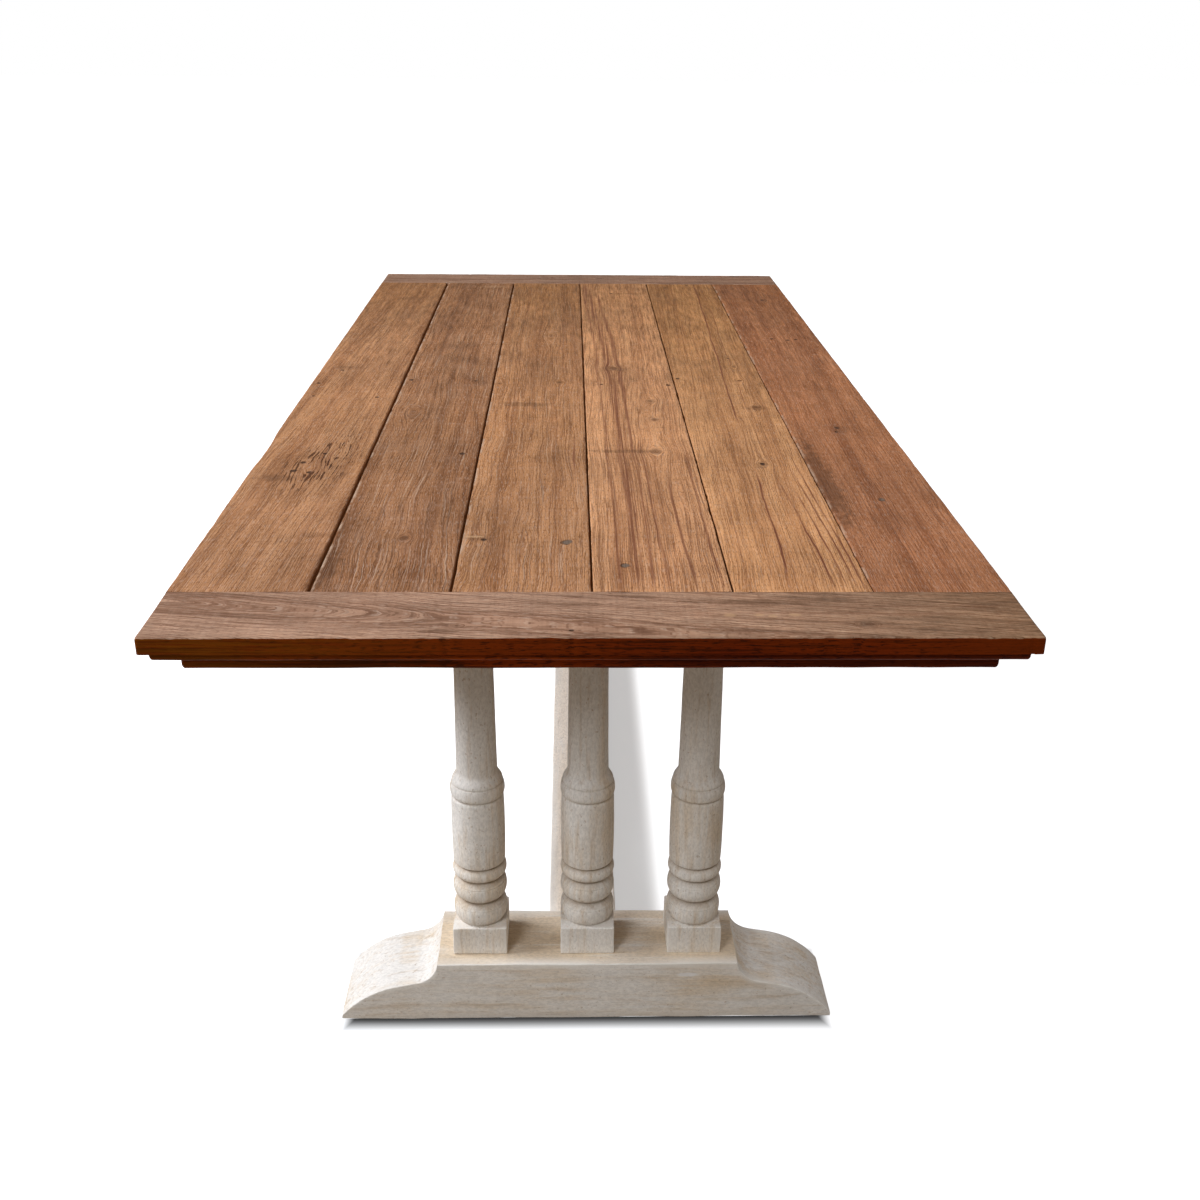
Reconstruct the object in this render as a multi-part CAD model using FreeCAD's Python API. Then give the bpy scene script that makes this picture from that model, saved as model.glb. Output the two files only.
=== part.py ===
# A trestle dining table: a plank top with breadboard ends, stepped under its edge, on two trestles.
# Each trestle is three turned balusters between a sledge foot and a head rail.
# A low stretcher joins the feet.
# Millimetres. X runs across the table, Y along it, Z up.
# The origin is on the floor under the middle of the top.
import FreeCAD, Part
import math
import os

# Overall size.
table_length = 2200.0
table_width = 1000.0
table_height = 770.0

# Slack around every tenon and tongue, and around every round peg and screw.
fit_clearance = 0.2
round_clearance = 0.1

# Top boards, joined edge to edge by a tongue and groove below an open seam.
board_count = 6
board_thickness = 22.0
board_seam = 2.0
seam_chamfer = 1.2
tongue_thickness = 7.0
tongue_depth = 8.0

# Breadboard ends, grooved over a tongue on the end of each board and pegged from below.
breadboard_width = 125.0
end_tongue_thickness = 8.0
end_tongue_length = 22.0
end_tongue_shoulder = 14.0
end_peg_radius = 4.0
end_peg_cover = 6.0
top_arris_radius = 3.0

# Edge strips, the first step under the top, and frame rails, the second step.
strip_inset = 10.0
strip_thickness = 12.5
rail_inset = 36.0
rail_width = 70.0
rail_thickness = 21.0
step_arris_radius = 4.0
rail_tenon_length = 24.0
rail_tenon_thickness = 9.0
rail_tenon_shoulder = 10.0

# Cross bearers between the long rails, evenly spaced between the head rails.
bearer_count = 3
bearer_width = 70.0
bearer_tenon_length = 18.0
bearer_tenon_shoulder = 10.0

# Countersunk wood screws, driven upwards into the boards.
screw_shank_radius = 2.5
screw_head_radius = 4.5
screw_head_height = 3.0
screw_tip_length = 6.0
screw_tip_radius = 0.4
screw_slot_width = 1.2
screw_slot_depth = 1.1
screw_cover = 7.0
screw_edge_margin = 18.0
rail_screw_count = 6
end_rail_screw_count = 4
rail_screw_margin = 130.0

# Trestles.
trestle_overhang = 275.0
baluster_spacing = 160.0

# Sledge feet with an ogee at each end.
foot_width = 130.0
foot_height = 100.0
foot_margin = 23.0
foot_end_run = 147.0
foot_cove_radius = 43.0
foot_cove_angle = 80.0
foot_slope_angle = 11.0
foot_slope_length = 28.0
foot_toe_height = 3.0
foot_arris = 1.5

# Head rails.
head_width = 90.0
head_height = 70.0
head_end_gap = 24.0
head_bevel = 30.0
head_arris = 1.5
head_counterbore_depth = 30.0
head_counterbore_slack = 1.5

# Balusters: a square plinth, three rings, a barrel, a collar, a flare, a plain column and a square cap.
plinth_size = 80.0
plinth_height = 46.0
plinth_arris = 1.5
ring_radius = 39.2
base_ring_height = 30.0
lower_fillet_height = 8.0
lower_fillet_radius = 36.2
middle_ring_height = 27.0
upper_fillet_height = 10.0
upper_fillet_radius = 35.0
upper_ring_height = 24.0
groove_height = 2.0
groove_depth = 1.0
barrel_height = 109.0
barrel_radius = 39.0
barrel_taper = 0.7
collar_height = 20.0
collar_radius = 39.2
collar_edge_radius = 37.8
flare_height = 21.0
flare_bow = 1.2
column_foot_radius = 29.6
column_top_radius = 27.0
neck_ring_height = 14.0
neck_ring_radius = 33.0
cap_height = 44.0
baluster_tenon_radius = 18.0
foot_tenon_floor = 40.0
head_tenon_cover = 25.0

# Stretcher between the feet, a little to the left of the middle, stub-tenoned and pegged from below.
stretcher_width = 104.0
stretcher_height = 60.0
stretcher_drop = 10.0
stretcher_offset = -6.0
stretcher_arris = 2.0
stretcher_tenon_shoulder = 12.0
stretcher_mortise_wall = 7.0
stretcher_peg_radius = 5.0
stretcher_peg_recess = 3.0

# Levels and places that follow from the sizes above.
boards_under = table_height - board_thickness
strips_under = boards_under - strip_thickness
rails_under = strips_under - rail_thickness
head_under = boards_under - head_height
board_width = (table_width - (board_count - 1) * board_seam) / board_count
board_pitch = board_width + board_seam
boards_end = table_length / 2 - breadboard_width
strip_x = table_width / 2 - strip_inset
strip_y = table_length / 2 - strip_inset
rail_x = table_width / 2 - rail_inset
rail_y = table_length / 2 - rail_inset
rail_inner_x = rail_x - rail_width
rail_inner_y = rail_y - rail_width
head_half = rail_inner_x - head_end_gap
trestle_y = table_length / 2 - trestle_overhang - foot_width / 2
foot_inner_y = trestle_y - foot_width / 2
foot_flat_half = baluster_spacing + plinth_size / 2 + foot_margin
foot_half = foot_flat_half + foot_end_run
foot_tenon_length = foot_height - foot_tenon_floor
head_tenon_length = head_height - head_tenon_cover
stretcher_top = foot_height - stretcher_drop
stretcher_under = stretcher_top - stretcher_height
stretcher_tenon_length = foot_width / 2 - baluster_tenon_radius - stretcher_mortise_wall
barrel_end_radius = barrel_radius - barrel_taper
groove_radius = barrel_end_radius - groove_depth
screw_bite = board_thickness - screw_cover
head_screw_grip = head_height - head_counterbore_depth
head_counterbore_radius = screw_head_radius + head_counterbore_slack
rail_screw_length = strip_thickness + rail_thickness + screw_bite

UP = FreeCAD.Vector(0, 0, 1)
ENDS = {"near": -1, "far": 1}
SIDES = {"left": -1, "right": 1}
PLACES = {"left": -1, "middle": 0, "right": 1}


def vector(x, y, z):
    return FreeCAD.Vector(x, y, z)


def block(x_range, y_range, z_range):
    """A box between two values on each axis, given in either order."""
    lows = [min(pair) for pair in (x_range, y_range, z_range)]
    spans = [abs(pair[1] - pair[0]) for pair in (x_range, y_range, z_range)]
    return Part.makeBox(*spans, vector(*lows))


def around(centre, size):
    """The range of a size centred on a place."""
    return (centre - size / 2, centre + size / 2)


def turned(outline):
    """A solid of revolution about Z from edges that run up the outside of a half section."""
    start = outline[0].StartPoint
    end = outline[-1].EndPoint
    axis_low = vector(0, 0, start.z)
    axis_high = vector(0, 0, end.z)
    corners = [end, axis_high, axis_low, start]
    closing = [Part.LineSegment(a, b) for a, b in zip(corners, corners[1:])]
    wire = Part.Wire([edge.toShape() for edge in outline + closing])
    return Part.Face(wire).revolve(vector(0, 0, 0), UP, 360)


def line(start, end):
    """A straight edge of a half section, from (radius, height) to (radius, height)."""
    return Part.LineSegment(vector(start[0], 0, start[1]), vector(end[0], 0, end[1]))


def arc(start, middle, end):
    """A round edge of a half section through three (radius, height) points."""
    return Part.Arc(*[vector(point[0], 0, point[1]) for point in (start, middle, end)])


def peg(radius, bottom, top):
    """An upright round peg on the Z axis."""
    return Part.makeCylinder(radius, top - bottom, vector(0, 0, bottom))


def moved(shape, x, y, z=0.0):
    copy = shape.copy()
    copy.translate(vector(x, y, z))
    return copy


def without(shape, cutters):
    """The shape less every cutter that reaches it."""
    near = [cutter for cutter in cutters if shape.BoundBox.intersect(cutter.BoundBox)]
    return shape.cut(near) if near else shape


def rounded(shape, radius, wanted):
    """Rounds the straight edges whose middle point passes the test."""
    edges = [edge for edge in shape.Edges if wanted(edge.CenterOfMass)]
    return shape.makeFillet(radius, edges)


def close(a, b):
    return abs(a - b) < 1e-6


def save(name, shapes):
    """Writes one node: a single solid, or a group of like solids."""
    shape = shapes if isinstance(shapes, Part.Shape) else Part.makeCompound(shapes)
    assert shape.isValid(), name
    shape.exportStep(os.path.join("parts", name + ".step"))
    print(f"{name}: {len(shape.Solids)} solid(s), {shape.Volume / 1000:.1f} cm3")


# Screws and their holes.


def screw_outline(length, slack):
    """Half section of a countersunk screw, point up, its head face at zero."""
    head = (screw_head_radius + slack, 0)
    neck = (screw_shank_radius + slack, screw_head_height)
    taper = (screw_shank_radius + slack, length - screw_tip_length)
    point = (screw_tip_radius + slack, length + slack)
    return [line(head, neck), line(neck, taper), line(taper, point)]


def screw(length):
    body = turned(screw_outline(length, 0.0))
    slot = block(around(0, 2 * screw_head_radius), around(0, screw_slot_width), (0, screw_slot_depth))
    return body.cut(slot)


def screw_hole(length, sunk):
    """Cutter for a screw and for the counterbore of that depth below its head."""
    hole = turned(screw_outline(length, round_clearance))
    if sunk > 0:
        hole = hole.fuse(peg(head_counterbore_radius, -sunk, 0))
    return hole


def spread(count, reach):
    """Evenly spaced places from minus to plus a reach."""
    return [reach * (2 * i / (count - 1) - 1) for i in range(count)]


def board_centre(i):
    return (i - (board_count - 1) / 2) * board_pitch


def rail_screw_places():
    rail_middle_x = rail_x - rail_width / 2
    rail_middle_y = rail_y - rail_width / 2
    along = spread(rail_screw_count, rail_inner_y - rail_screw_margin)
    across = spread(end_rail_screw_count, rail_inner_x - rail_screw_margin)
    long_rails = [(side * rail_middle_x, y) for side in SIDES.values() for y in along]
    end_rails = [(x, end * rail_middle_y) for end in ENDS.values() for x in across]
    return long_rails + end_rails


def bearer_places():
    pitch = 2 * trestle_y / (bearer_count + 1)
    return [(i - (bearer_count - 1) / 2) * pitch for i in range(bearer_count)]


def board_screw_row(half_length, y):
    """One screw under each board's middle, or as near it as a member of that half length reaches."""
    reach = half_length - screw_edge_margin
    return [(max(-reach, min(reach, board_centre(i))), y) for i in range(board_count)]


def bearer_screw_places():
    return [place for y in bearer_places() for place in board_screw_row(rail_inner_x, y)]


def head_screw_places():
    return [place for end in ENDS.values() for place in board_screw_row(head_half, end * trestle_y)]


def frame_screws(places):
    return [moved(screw(rail_screw_length), x, y, rails_under) for x, y in places]


def frame_screw_holes(places):
    return [moved(screw_hole(rail_screw_length, 0.0), x, y, rails_under) for x, y in places]


def head_screws():
    level = boards_under - head_screw_grip
    return [moved(screw(head_screw_grip + screw_bite), x, y, level) for x, y in head_screw_places()]


def head_screw_holes():
    level = boards_under - head_screw_grip
    hole = screw_hole(head_screw_grip + screw_bite, head_counterbore_depth)
    return [moved(hole, x, y, level) for x, y in head_screw_places()]


# The top.


def board_section(left, right, has_groove, has_tongue):
    """Cross section of one board, anticlockwise from its lower left corner."""
    middle = table_height - board_thickness / 2
    half = tongue_thickness / 2
    points = [(left, boards_under), (right, boards_under)]
    if has_tongue:
        reach = right + board_seam + tongue_depth
        points += [(right, middle - half), (reach, middle - half)]
        points += [(reach, middle + half), (right, middle + half)]
        points += [(right, table_height - seam_chamfer), (right - seam_chamfer, table_height)]
    else:
        points += [(right, table_height)]
    if has_groove:
        slot = half + fit_clearance
        depth = left + tongue_depth + fit_clearance
        points += [(left + seam_chamfer, table_height), (left, table_height - seam_chamfer)]
        points += [(left, middle + slot), (depth, middle + slot)]
        points += [(depth, middle - slot), (left, middle - slot)]
    else:
        points += [(left, table_height)]
    return points


def end_tongue(left, right, end):
    middle = table_height - board_thickness / 2
    return block(
        (left + end_tongue_shoulder, right - end_tongue_shoulder),
        (end * boards_end, end * (boards_end + end_tongue_length)),
        around(middle, end_tongue_thickness),
    )


def top_board(i, cutters):
    left = board_centre(i) - board_width / 2
    right = left + board_width
    section = board_section(left, right, i > 0, i < board_count - 1)
    corners = [vector(x, -boards_end, z) for x, z in section]
    board = Part.Face(Part.makePolygon(corners + corners[:1])).extrude(vector(0, 2 * boards_end, 0))
    for end in ENDS.values():
        board = board.fuse(end_tongue(left, right, end))
    board = board.removeSplitter()

    def outer_arris(p):
        return close(abs(p.x), table_width / 2) and close(p.z, table_height)

    if i in (0, board_count - 1):
        board = rounded(board, top_arris_radius, outer_arris)
    return without(board, cutters)


def end_peg_places(end):
    y = end * (boards_end + end_tongue_length / 2)
    return [(board_centre(i), y) for i in range(board_count)]


def end_pegs(end):
    top = table_height - end_peg_cover
    return [moved(peg(end_peg_radius, boards_under, top), x, y) for x, y in end_peg_places(end)]


def end_peg_holes(end):
    top = table_height - end_peg_cover + round_clearance
    hole = peg(end_peg_radius + round_clearance, boards_under, top)
    return [moved(hole, x, y) for x, y in end_peg_places(end)]


def breadboard_end(end, cutters):
    half = table_width / 2
    outer = table_length / 2
    middle = table_height - board_thickness / 2
    plank = block((-half, half), (end * boards_end, end * outer), (boards_under, table_height))

    def outer_arris(p):
        at_side = close(abs(p.x), half)
        at_end = close(abs(p.y), outer)
        on_top = close(p.z, table_height)
        return (on_top and (at_side or at_end)) or (at_side and at_end)

    plank = rounded(plank, top_arris_radius, outer_arris)
    stop = half - end_tongue_shoulder + fit_clearance
    groove = block(
        (-stop, stop),
        (end * boards_end, end * (boards_end + end_tongue_length + fit_clearance)),
        around(middle, end_tongue_thickness + 2 * fit_clearance),
    )
    return without(plank.cut(groove), cutters)


# The stepped frame under the top.


def end_strip(end, cutters):
    strip = block((-strip_x, strip_x), (end * rail_inner_y, end * strip_y), (strips_under, boards_under))

    def lower_outside(p):
        return close(p.z, strips_under) and (close(abs(p.x), strip_x) or close(abs(p.y), strip_y))

    return without(rounded(strip, step_arris_radius, lower_outside), cutters)


def side_strip(side, cutters):
    x_range = (side * rail_inner_x, side * strip_x)
    strip = block(x_range, (-rail_inner_y, rail_inner_y), (strips_under, boards_under))

    def lower_outside(p):
        return close(p.z, strips_under) and close(abs(p.x), strip_x)

    return without(rounded(strip, step_arris_radius, lower_outside), cutters)


def side_rail_tenon(side, end, slack):
    centre = side * (rail_x - rail_width / 2)
    return block(
        around(centre, rail_width - 2 * rail_tenon_shoulder + 2 * slack),
        (end * rail_inner_y, end * (rail_inner_y + rail_tenon_length + slack)),
        around(rails_under + rail_thickness / 2, rail_tenon_thickness + 2 * slack),
    )


def end_rail(end, cutters):
    rail = block((-rail_x, rail_x), (end * rail_inner_y, end * rail_y), (rails_under, strips_under))

    def lower_outside(p):
        return close(p.z, rails_under) and (close(abs(p.x), rail_x) or close(abs(p.y), rail_y))

    rail = rounded(rail, step_arris_radius, lower_outside)
    mortises = [side_rail_tenon(side, end, fit_clearance) for side in SIDES.values()]
    return without(rail, mortises + cutters)


def bearer_tenon(side, y, slack):
    return block(
        (side * rail_inner_x, side * (rail_inner_x + bearer_tenon_length + slack)),
        around(y, bearer_width - 2 * bearer_tenon_shoulder + 2 * slack),
        around(rails_under + rail_thickness / 2, rail_tenon_thickness + 2 * slack),
    )


def side_rail(side, cutters):
    x_range = (side * rail_inner_x, side * rail_x)
    rail = block(x_range, (-rail_inner_y, rail_inner_y), (rails_under, strips_under))

    def lower_outside(p):
        return close(p.z, rails_under) and close(abs(p.x), rail_x)

    rail = rounded(rail, step_arris_radius, lower_outside)
    rail = rail.fuse([side_rail_tenon(side, end, 0.0) for end in ENDS.values()])
    mortises = [bearer_tenon(side, y, fit_clearance) for y in bearer_places()]
    return without(rail, mortises + cutters)


def cross_bearer(y, cutters):
    bearer = block((-rail_inner_x, rail_inner_x), around(y, bearer_width), (rails_under, boards_under))
    bearer = bearer.fuse([bearer_tenon(side, y, 0.0) for side in SIDES.values()])
    return without(bearer, cutters)


# The trestles.


def on_ogee(angle, radius, centre):
    """A point on a circle at an angle from straight down, in degrees."""
    turn = math.radians(angle)
    return vector(centre.x + radius * math.sin(turn), 0, centre.z - radius * math.cos(turn))


def tangent_arc(start, slope, end):
    """The arc that leaves a point at a slope in degrees below the horizon and ends at another point."""
    chord = end - start
    chord_slope = math.degrees(math.atan2(-chord.z, chord.x))
    turn = chord_slope - slope
    radius = chord.Length / (2 * math.sin(math.radians(turn)))
    heading = math.radians(slope + turn / 2)
    half_chord = 2 * radius * math.sin(math.radians(turn / 2))
    middle = start + vector(half_chord * math.cos(heading), 0, -half_chord * math.sin(heading))
    return Part.Arc(start, middle, end)


def foot_outline():
    """The right half of a foot's side: flat, hollow, slope, swell and toe."""
    edge = vector(foot_flat_half, 0, foot_height)
    turn = math.radians(foot_cove_angle)
    centre = edge + vector(foot_cove_radius * math.sin(turn), 0, foot_cove_radius * math.cos(turn))
    hollow_middle = on_ogee(-(foot_cove_angle + foot_slope_angle) / 2, foot_cove_radius, centre)
    hollow_end = on_ogee(-foot_slope_angle, foot_cove_radius, centre)
    slope = math.radians(foot_slope_angle)
    run = vector(foot_slope_length * math.cos(slope), 0, -foot_slope_length * math.sin(slope))
    toe = vector(foot_half, 0, foot_toe_height)
    return [
        Part.LineSegment(vector(0, 0, foot_height), edge),
        Part.Arc(edge, hollow_middle, hollow_end),
        Part.LineSegment(hollow_end, hollow_end + run),
        tangent_arc(hollow_end + run, foot_slope_angle, toe),
        Part.LineSegment(toe, vector(foot_half, 0, 0)),
        Part.LineSegment(vector(foot_half, 0, 0), vector(0, 0, 0)),
    ]


def stretcher_tenon(end, slack):
    y_range = (end * foot_inner_y, end * (foot_inner_y + stretcher_tenon_length + slack))
    shoulder = stretcher_tenon_shoulder - slack
    return block(
        around(stretcher_offset, stretcher_width - 2 * shoulder),
        y_range,
        (stretcher_under + shoulder, stretcher_top - shoulder),
    )


def stretcher_peg_place(end):
    return stretcher_offset, end * (foot_inner_y + stretcher_tenon_length / 2)


def stretcher_peg(end):
    x, y = stretcher_peg_place(end)
    top = stretcher_top - stretcher_tenon_shoulder
    return moved(peg(stretcher_peg_radius, stretcher_peg_recess, top), x, y)


def stretcher_peg_hole(end):
    x, y = stretcher_peg_place(end)
    top = stretcher_top - stretcher_tenon_shoulder + fit_clearance
    return moved(peg(stretcher_peg_radius + round_clearance, -fit_clearance, top), x, y)


def sledge_foot(end):
    outline = foot_outline() + [Part.LineSegment(vector(0, 0, 0), vector(0, 0, foot_height))]
    wire = Part.Wire([edge.toShape() for edge in outline])
    right = Part.Face(wire).extrude(vector(0, foot_width, 0))
    left = right.mirror(vector(0, 0, 0), vector(1, 0, 0))
    foot = right.fuse(left).removeSplitter()
    foot.translate(vector(0, end * trestle_y - foot_width / 2, 0))

    def flat_top_side(p):
        return close(p.z, foot_height) and close(abs(abs(p.y) - trestle_y), foot_width / 2)

    foot = rounded(foot, foot_arris, flat_top_side)
    socket = peg(baluster_tenon_radius + round_clearance, foot_tenon_floor - fit_clearance, foot_height)
    sockets = [moved(socket, place * baluster_spacing, end * trestle_y) for place in PLACES.values()]
    return foot.cut(sockets + [stretcher_tenon(end, fit_clearance), stretcher_peg_hole(end)])


def head_rail(end, cutters):
    low = head_half - head_bevel
    outline = [
        (-low, head_under),
        (low, head_under),
        (head_half, head_under + head_bevel),
        (head_half, boards_under),
        (-head_half, boards_under),
        (-head_half, head_under + head_bevel),
    ]
    corners = [vector(x, end * trestle_y - head_width / 2, z) for x, z in outline]
    rail = Part.Face(Part.makePolygon(corners + corners[:1])).extrude(vector(0, head_width, 0))
    rail = rounded(rail, head_arris, lambda p: close(p.z, head_under) and not close(abs(p.x), low))
    socket_top = head_under + head_tenon_length + fit_clearance
    socket = peg(baluster_tenon_radius + round_clearance, head_under, socket_top)
    sockets = [moved(socket, place * baluster_spacing, end * trestle_y) for place in PLACES.values()]
    return without(rail, sockets + cutters)


def halfway(start, end, bow):
    """The middle of a straight run, moved out by a bow."""
    return ((start[0] + end[0]) / 2 + bow, (start[1] + end[1]) / 2)


def bulge(low, swell, high, edge_low, edge_high):
    """A rounded ring between two heights that swells out to a radius half way up."""
    return arc((edge_low, low), (swell, (low + high) / 2), (edge_high, high))


def flare(low, high, wide, narrow):
    """A swelling curve that leaves the collar and a hollow one that runs into the column."""
    start = (wide, low)
    end = (narrow, high)
    middle = halfway(start, end, 0.0)
    swell = arc(start, halfway(start, middle, flare_bow), middle)
    hollow = arc(middle, halfway(middle, end, -flare_bow), end)
    return [swell, hollow]


def baluster_outline():
    """Half section of a baluster from its lower tenon to its upper one."""
    plinth_top = foot_height + plinth_height
    base_top = plinth_top + base_ring_height
    lower_fillet_top = base_top + lower_fillet_height
    middle_top = lower_fillet_top + middle_ring_height
    upper_fillet_top = middle_top + upper_fillet_height
    upper_top = upper_fillet_top + upper_ring_height
    barrel_low = upper_top + groove_height
    barrel_top = barrel_low + barrel_height
    collar_low = barrel_top + groove_height
    collar_top = collar_low + collar_height
    flare_top = collar_top + flare_height
    cap_under = head_under - cap_height
    neck_low = cap_under - neck_ring_height
    tenon = baluster_tenon_radius
    return [
        line((tenon, foot_height - foot_tenon_length), (tenon, plinth_top)),
        line((tenon, plinth_top), (lower_fillet_radius, plinth_top)),
        bulge(plinth_top, ring_radius, base_top, lower_fillet_radius, lower_fillet_radius),
        line((lower_fillet_radius, base_top), (lower_fillet_radius, lower_fillet_top)),
        bulge(lower_fillet_top, ring_radius, middle_top, lower_fillet_radius, upper_fillet_radius),
        line((upper_fillet_radius, middle_top), (upper_fillet_radius, upper_fillet_top)),
        bulge(upper_fillet_top, ring_radius, upper_top, upper_fillet_radius, groove_radius),
        line((groove_radius, upper_top), (groove_radius, barrel_low)),
        line((groove_radius, barrel_low), (barrel_end_radius, barrel_low)),
        bulge(barrel_low, barrel_radius, barrel_top, barrel_end_radius, barrel_end_radius),
        line((barrel_end_radius, barrel_top), (groove_radius, barrel_top)),
        line((groove_radius, barrel_top), (groove_radius, collar_low)),
        bulge(collar_low, collar_radius, collar_top, groove_radius, collar_edge_radius),
        *flare(collar_top, flare_top, collar_edge_radius, column_foot_radius),
        line((column_foot_radius, flare_top), (column_top_radius, neck_low)),
        bulge(neck_low, neck_ring_radius, cap_under, column_top_radius, column_top_radius),
        line((column_top_radius, cap_under), (tenon, cap_under)),
        line((tenon, cap_under), (tenon, head_under + head_tenon_length)),
    ]


def square_block(low, high):
    """A square block on the Z axis with its upright corners rounded."""
    blank = block(around(0, plinth_size), around(0, plinth_size), (low, high))
    return rounded(blank, plinth_arris, lambda p: close(p.z, (low + high) / 2))


def baluster():
    turning = turned(baluster_outline())
    plinth = square_block(foot_height, foot_height + plinth_height)
    cap = square_block(head_under - cap_height, head_under)
    return turning.fuse([plinth, cap]).removeSplitter()


def stretcher():
    width_range = around(stretcher_offset, stretcher_width)
    beam = block(width_range, (-foot_inner_y, foot_inner_y), (stretcher_under, stretcher_top))
    beam = rounded(beam, stretcher_arris, lambda p: close(p.y, 0))
    beam = beam.fuse([stretcher_tenon(end, 0.0) for end in ENDS.values()])
    return beam.cut([stretcher_peg_hole(end) for end in ENDS.values()])


def build_top():
    frame_holes = frame_screw_holes(rail_screw_places())
    bearer_holes = frame_screw_holes(bearer_screw_places())
    screw_holes = frame_holes + bearer_holes + head_screw_holes()
    peg_holes = [hole for end in ENDS.values() for hole in end_peg_holes(end)]
    for i in range(board_count):
        save(f"top_board_{i + 1}", top_board(i, screw_holes + peg_holes))
    for name, end in ENDS.items():
        save(f"breadboard_end_{name}", breadboard_end(end, screw_holes + peg_holes))
        save(f"end_pegs_{name}", end_pegs(end))
        save(f"edge_strip_{name}", end_strip(end, frame_holes))
        save(f"frame_rail_{name}", end_rail(end, frame_holes))
    for name, side in SIDES.items():
        save(f"edge_strip_{name}", side_strip(side, frame_holes))
        save(f"frame_rail_{name}", side_rail(side, frame_holes))
    for i, y in enumerate(bearer_places()):
        save(f"cross_bearer_{i + 1}", cross_bearer(y, bearer_holes))
    save("frame_screws", frame_screws(rail_screw_places()))
    save("bearer_screws", frame_screws(bearer_screw_places()))


def build_trestles():
    head_holes = head_screw_holes()
    upright = baluster()
    for end_name, end in ENDS.items():
        save(f"foot_{end_name}", sledge_foot(end))
        save(f"head_rail_{end_name}", head_rail(end, head_holes))
        for place_name, place in PLACES.items():
            stood = moved(upright, place * baluster_spacing, end * trestle_y)
            save(f"baluster_{end_name}_{place_name}", stood)
    save("head_screws", head_screws())
    save("stretcher", stretcher())
    save("stretcher_pegs", [stretcher_peg(end) for end in ENDS.values()])


os.makedirs("parts", exist_ok=True)
build_top()
build_trestles()
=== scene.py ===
import math
import bmesh
import bpy
import numpy as np
from mathutils import Matrix, Vector, noise


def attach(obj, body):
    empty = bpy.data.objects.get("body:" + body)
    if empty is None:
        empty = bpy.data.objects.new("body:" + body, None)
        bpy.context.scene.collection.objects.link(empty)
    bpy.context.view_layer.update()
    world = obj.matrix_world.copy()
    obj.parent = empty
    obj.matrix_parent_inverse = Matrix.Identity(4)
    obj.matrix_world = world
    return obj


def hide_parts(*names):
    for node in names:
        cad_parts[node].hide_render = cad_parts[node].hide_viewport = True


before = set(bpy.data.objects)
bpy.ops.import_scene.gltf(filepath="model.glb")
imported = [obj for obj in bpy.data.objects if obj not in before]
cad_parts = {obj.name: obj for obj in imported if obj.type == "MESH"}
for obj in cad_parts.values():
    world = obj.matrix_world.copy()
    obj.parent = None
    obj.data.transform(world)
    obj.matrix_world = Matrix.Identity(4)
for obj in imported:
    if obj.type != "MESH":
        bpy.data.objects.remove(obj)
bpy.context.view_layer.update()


# Sledge feet: one solid limed baulk under each trestle, sawn to an ogee at both ends and rubbed smooth.
# They lie flat on the floor; the balusters are tenoned into the top and the stretcher into the inner side.
foot_width = 0.130
foot_height = 0.100
foot_flat_half = 0.223
foot_half = 0.370
foot_arris = 0.0018
trestle_y = 0.760


def put(tree, kind, inputs=None, **settings):
    """Adds a node, sets it up, and links or fills its inputs."""
    node = tree.nodes.new(kind)
    for key, value in settings.items():
        setattr(node, key, value)
    for key, value in (inputs or {}).items():
        if isinstance(value, bpy.types.NodeSocket):
            tree.links.new(value, node.inputs[key])
        else:
            node.inputs[key].default_value = value
    return node


def maths(tree, operation, a, b=0.0, c=0.0):
    """One sum on up to three values."""
    return put(tree, "ShaderNodeMath", {0: a, 1: b, 2: c}, operation=operation).outputs[0]


def ramp(tree, value, low, high, to_low=0.0, to_high=1.0):
    """Carries a value smoothly from one level to another between two limits."""
    node = put(tree, "ShaderNodeMapRange", {0: value, 1: low, 2: high, 3: to_low, 4: to_high},
               interpolation_type="SMOOTHSTEP")
    return node.outputs[0]


def tint(tree, factor, a, b, blend="MIX"):
    """Goes from the first colour to the second by a factor."""
    node = put(tree, "ShaderNodeMix", {0: factor, 6: a, 7: b}, data_type="RGBA", blend_type=blend)
    return node.outputs[2]


def layer(tree, under, mask, share, over):
    """Lays one colour over another where a mask shows, at a share of its strength."""
    return tint(tree, maths(tree, "MULTIPLY", mask, share), under, over)


def vectors(tree, operation, a, b):
    """One sum on two vectors."""
    return put(tree, "ShaderNodeVectorMath", {0: a, 1: b}, operation=operation).outputs[0]


def scaled(tree, vector, by):
    """A vector, or a colour, times a value."""
    return put(tree, "ShaderNodeVectorMath", {0: vector, 3: by}, operation="SCALE").outputs[0]


def length(tree, vector):
    """How long a vector is."""
    return put(tree, "ShaderNodeVectorMath", {0: vector}, operation="LENGTH").outputs["Value"]


def apart(tree, vector):
    """The three parts of a vector."""
    return put(tree, "ShaderNodeSeparateXYZ", {0: vector}).outputs


def cloud(tree, place, scale, detail=2.0, rough=0.5, shift=(0.0, 0.0, 0.0)):
    """Noise on a place stretched by a scale on each axis."""
    moved = put(tree, "ShaderNodeMapping", {"Vector": place, "Location": shift, "Scale": scale}).outputs[0]
    node = put(tree, "ShaderNodeTexNoise", {"Vector": moved, "Scale": 1.0, "Detail": detail, "Roughness": rough})
    return node.outputs["Fac"]


def new_group(name, inputs, outputs, kind="ShaderNodeTree"):
    """A node group with named sockets; gives the tree, its inputs and its output node."""
    tree = bpy.data.node_groups.new(name, kind)
    for way, sockets in (("INPUT", inputs), ("OUTPUT", outputs)):
        for label, holds in sockets.items():
            tree.interface.new_socket(name=label, in_out=way, socket_type="NodeSocket" + holds)
    return tree, tree.nodes.new("NodeGroupInput").outputs, tree.nodes.new("NodeGroupOutput")


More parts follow.
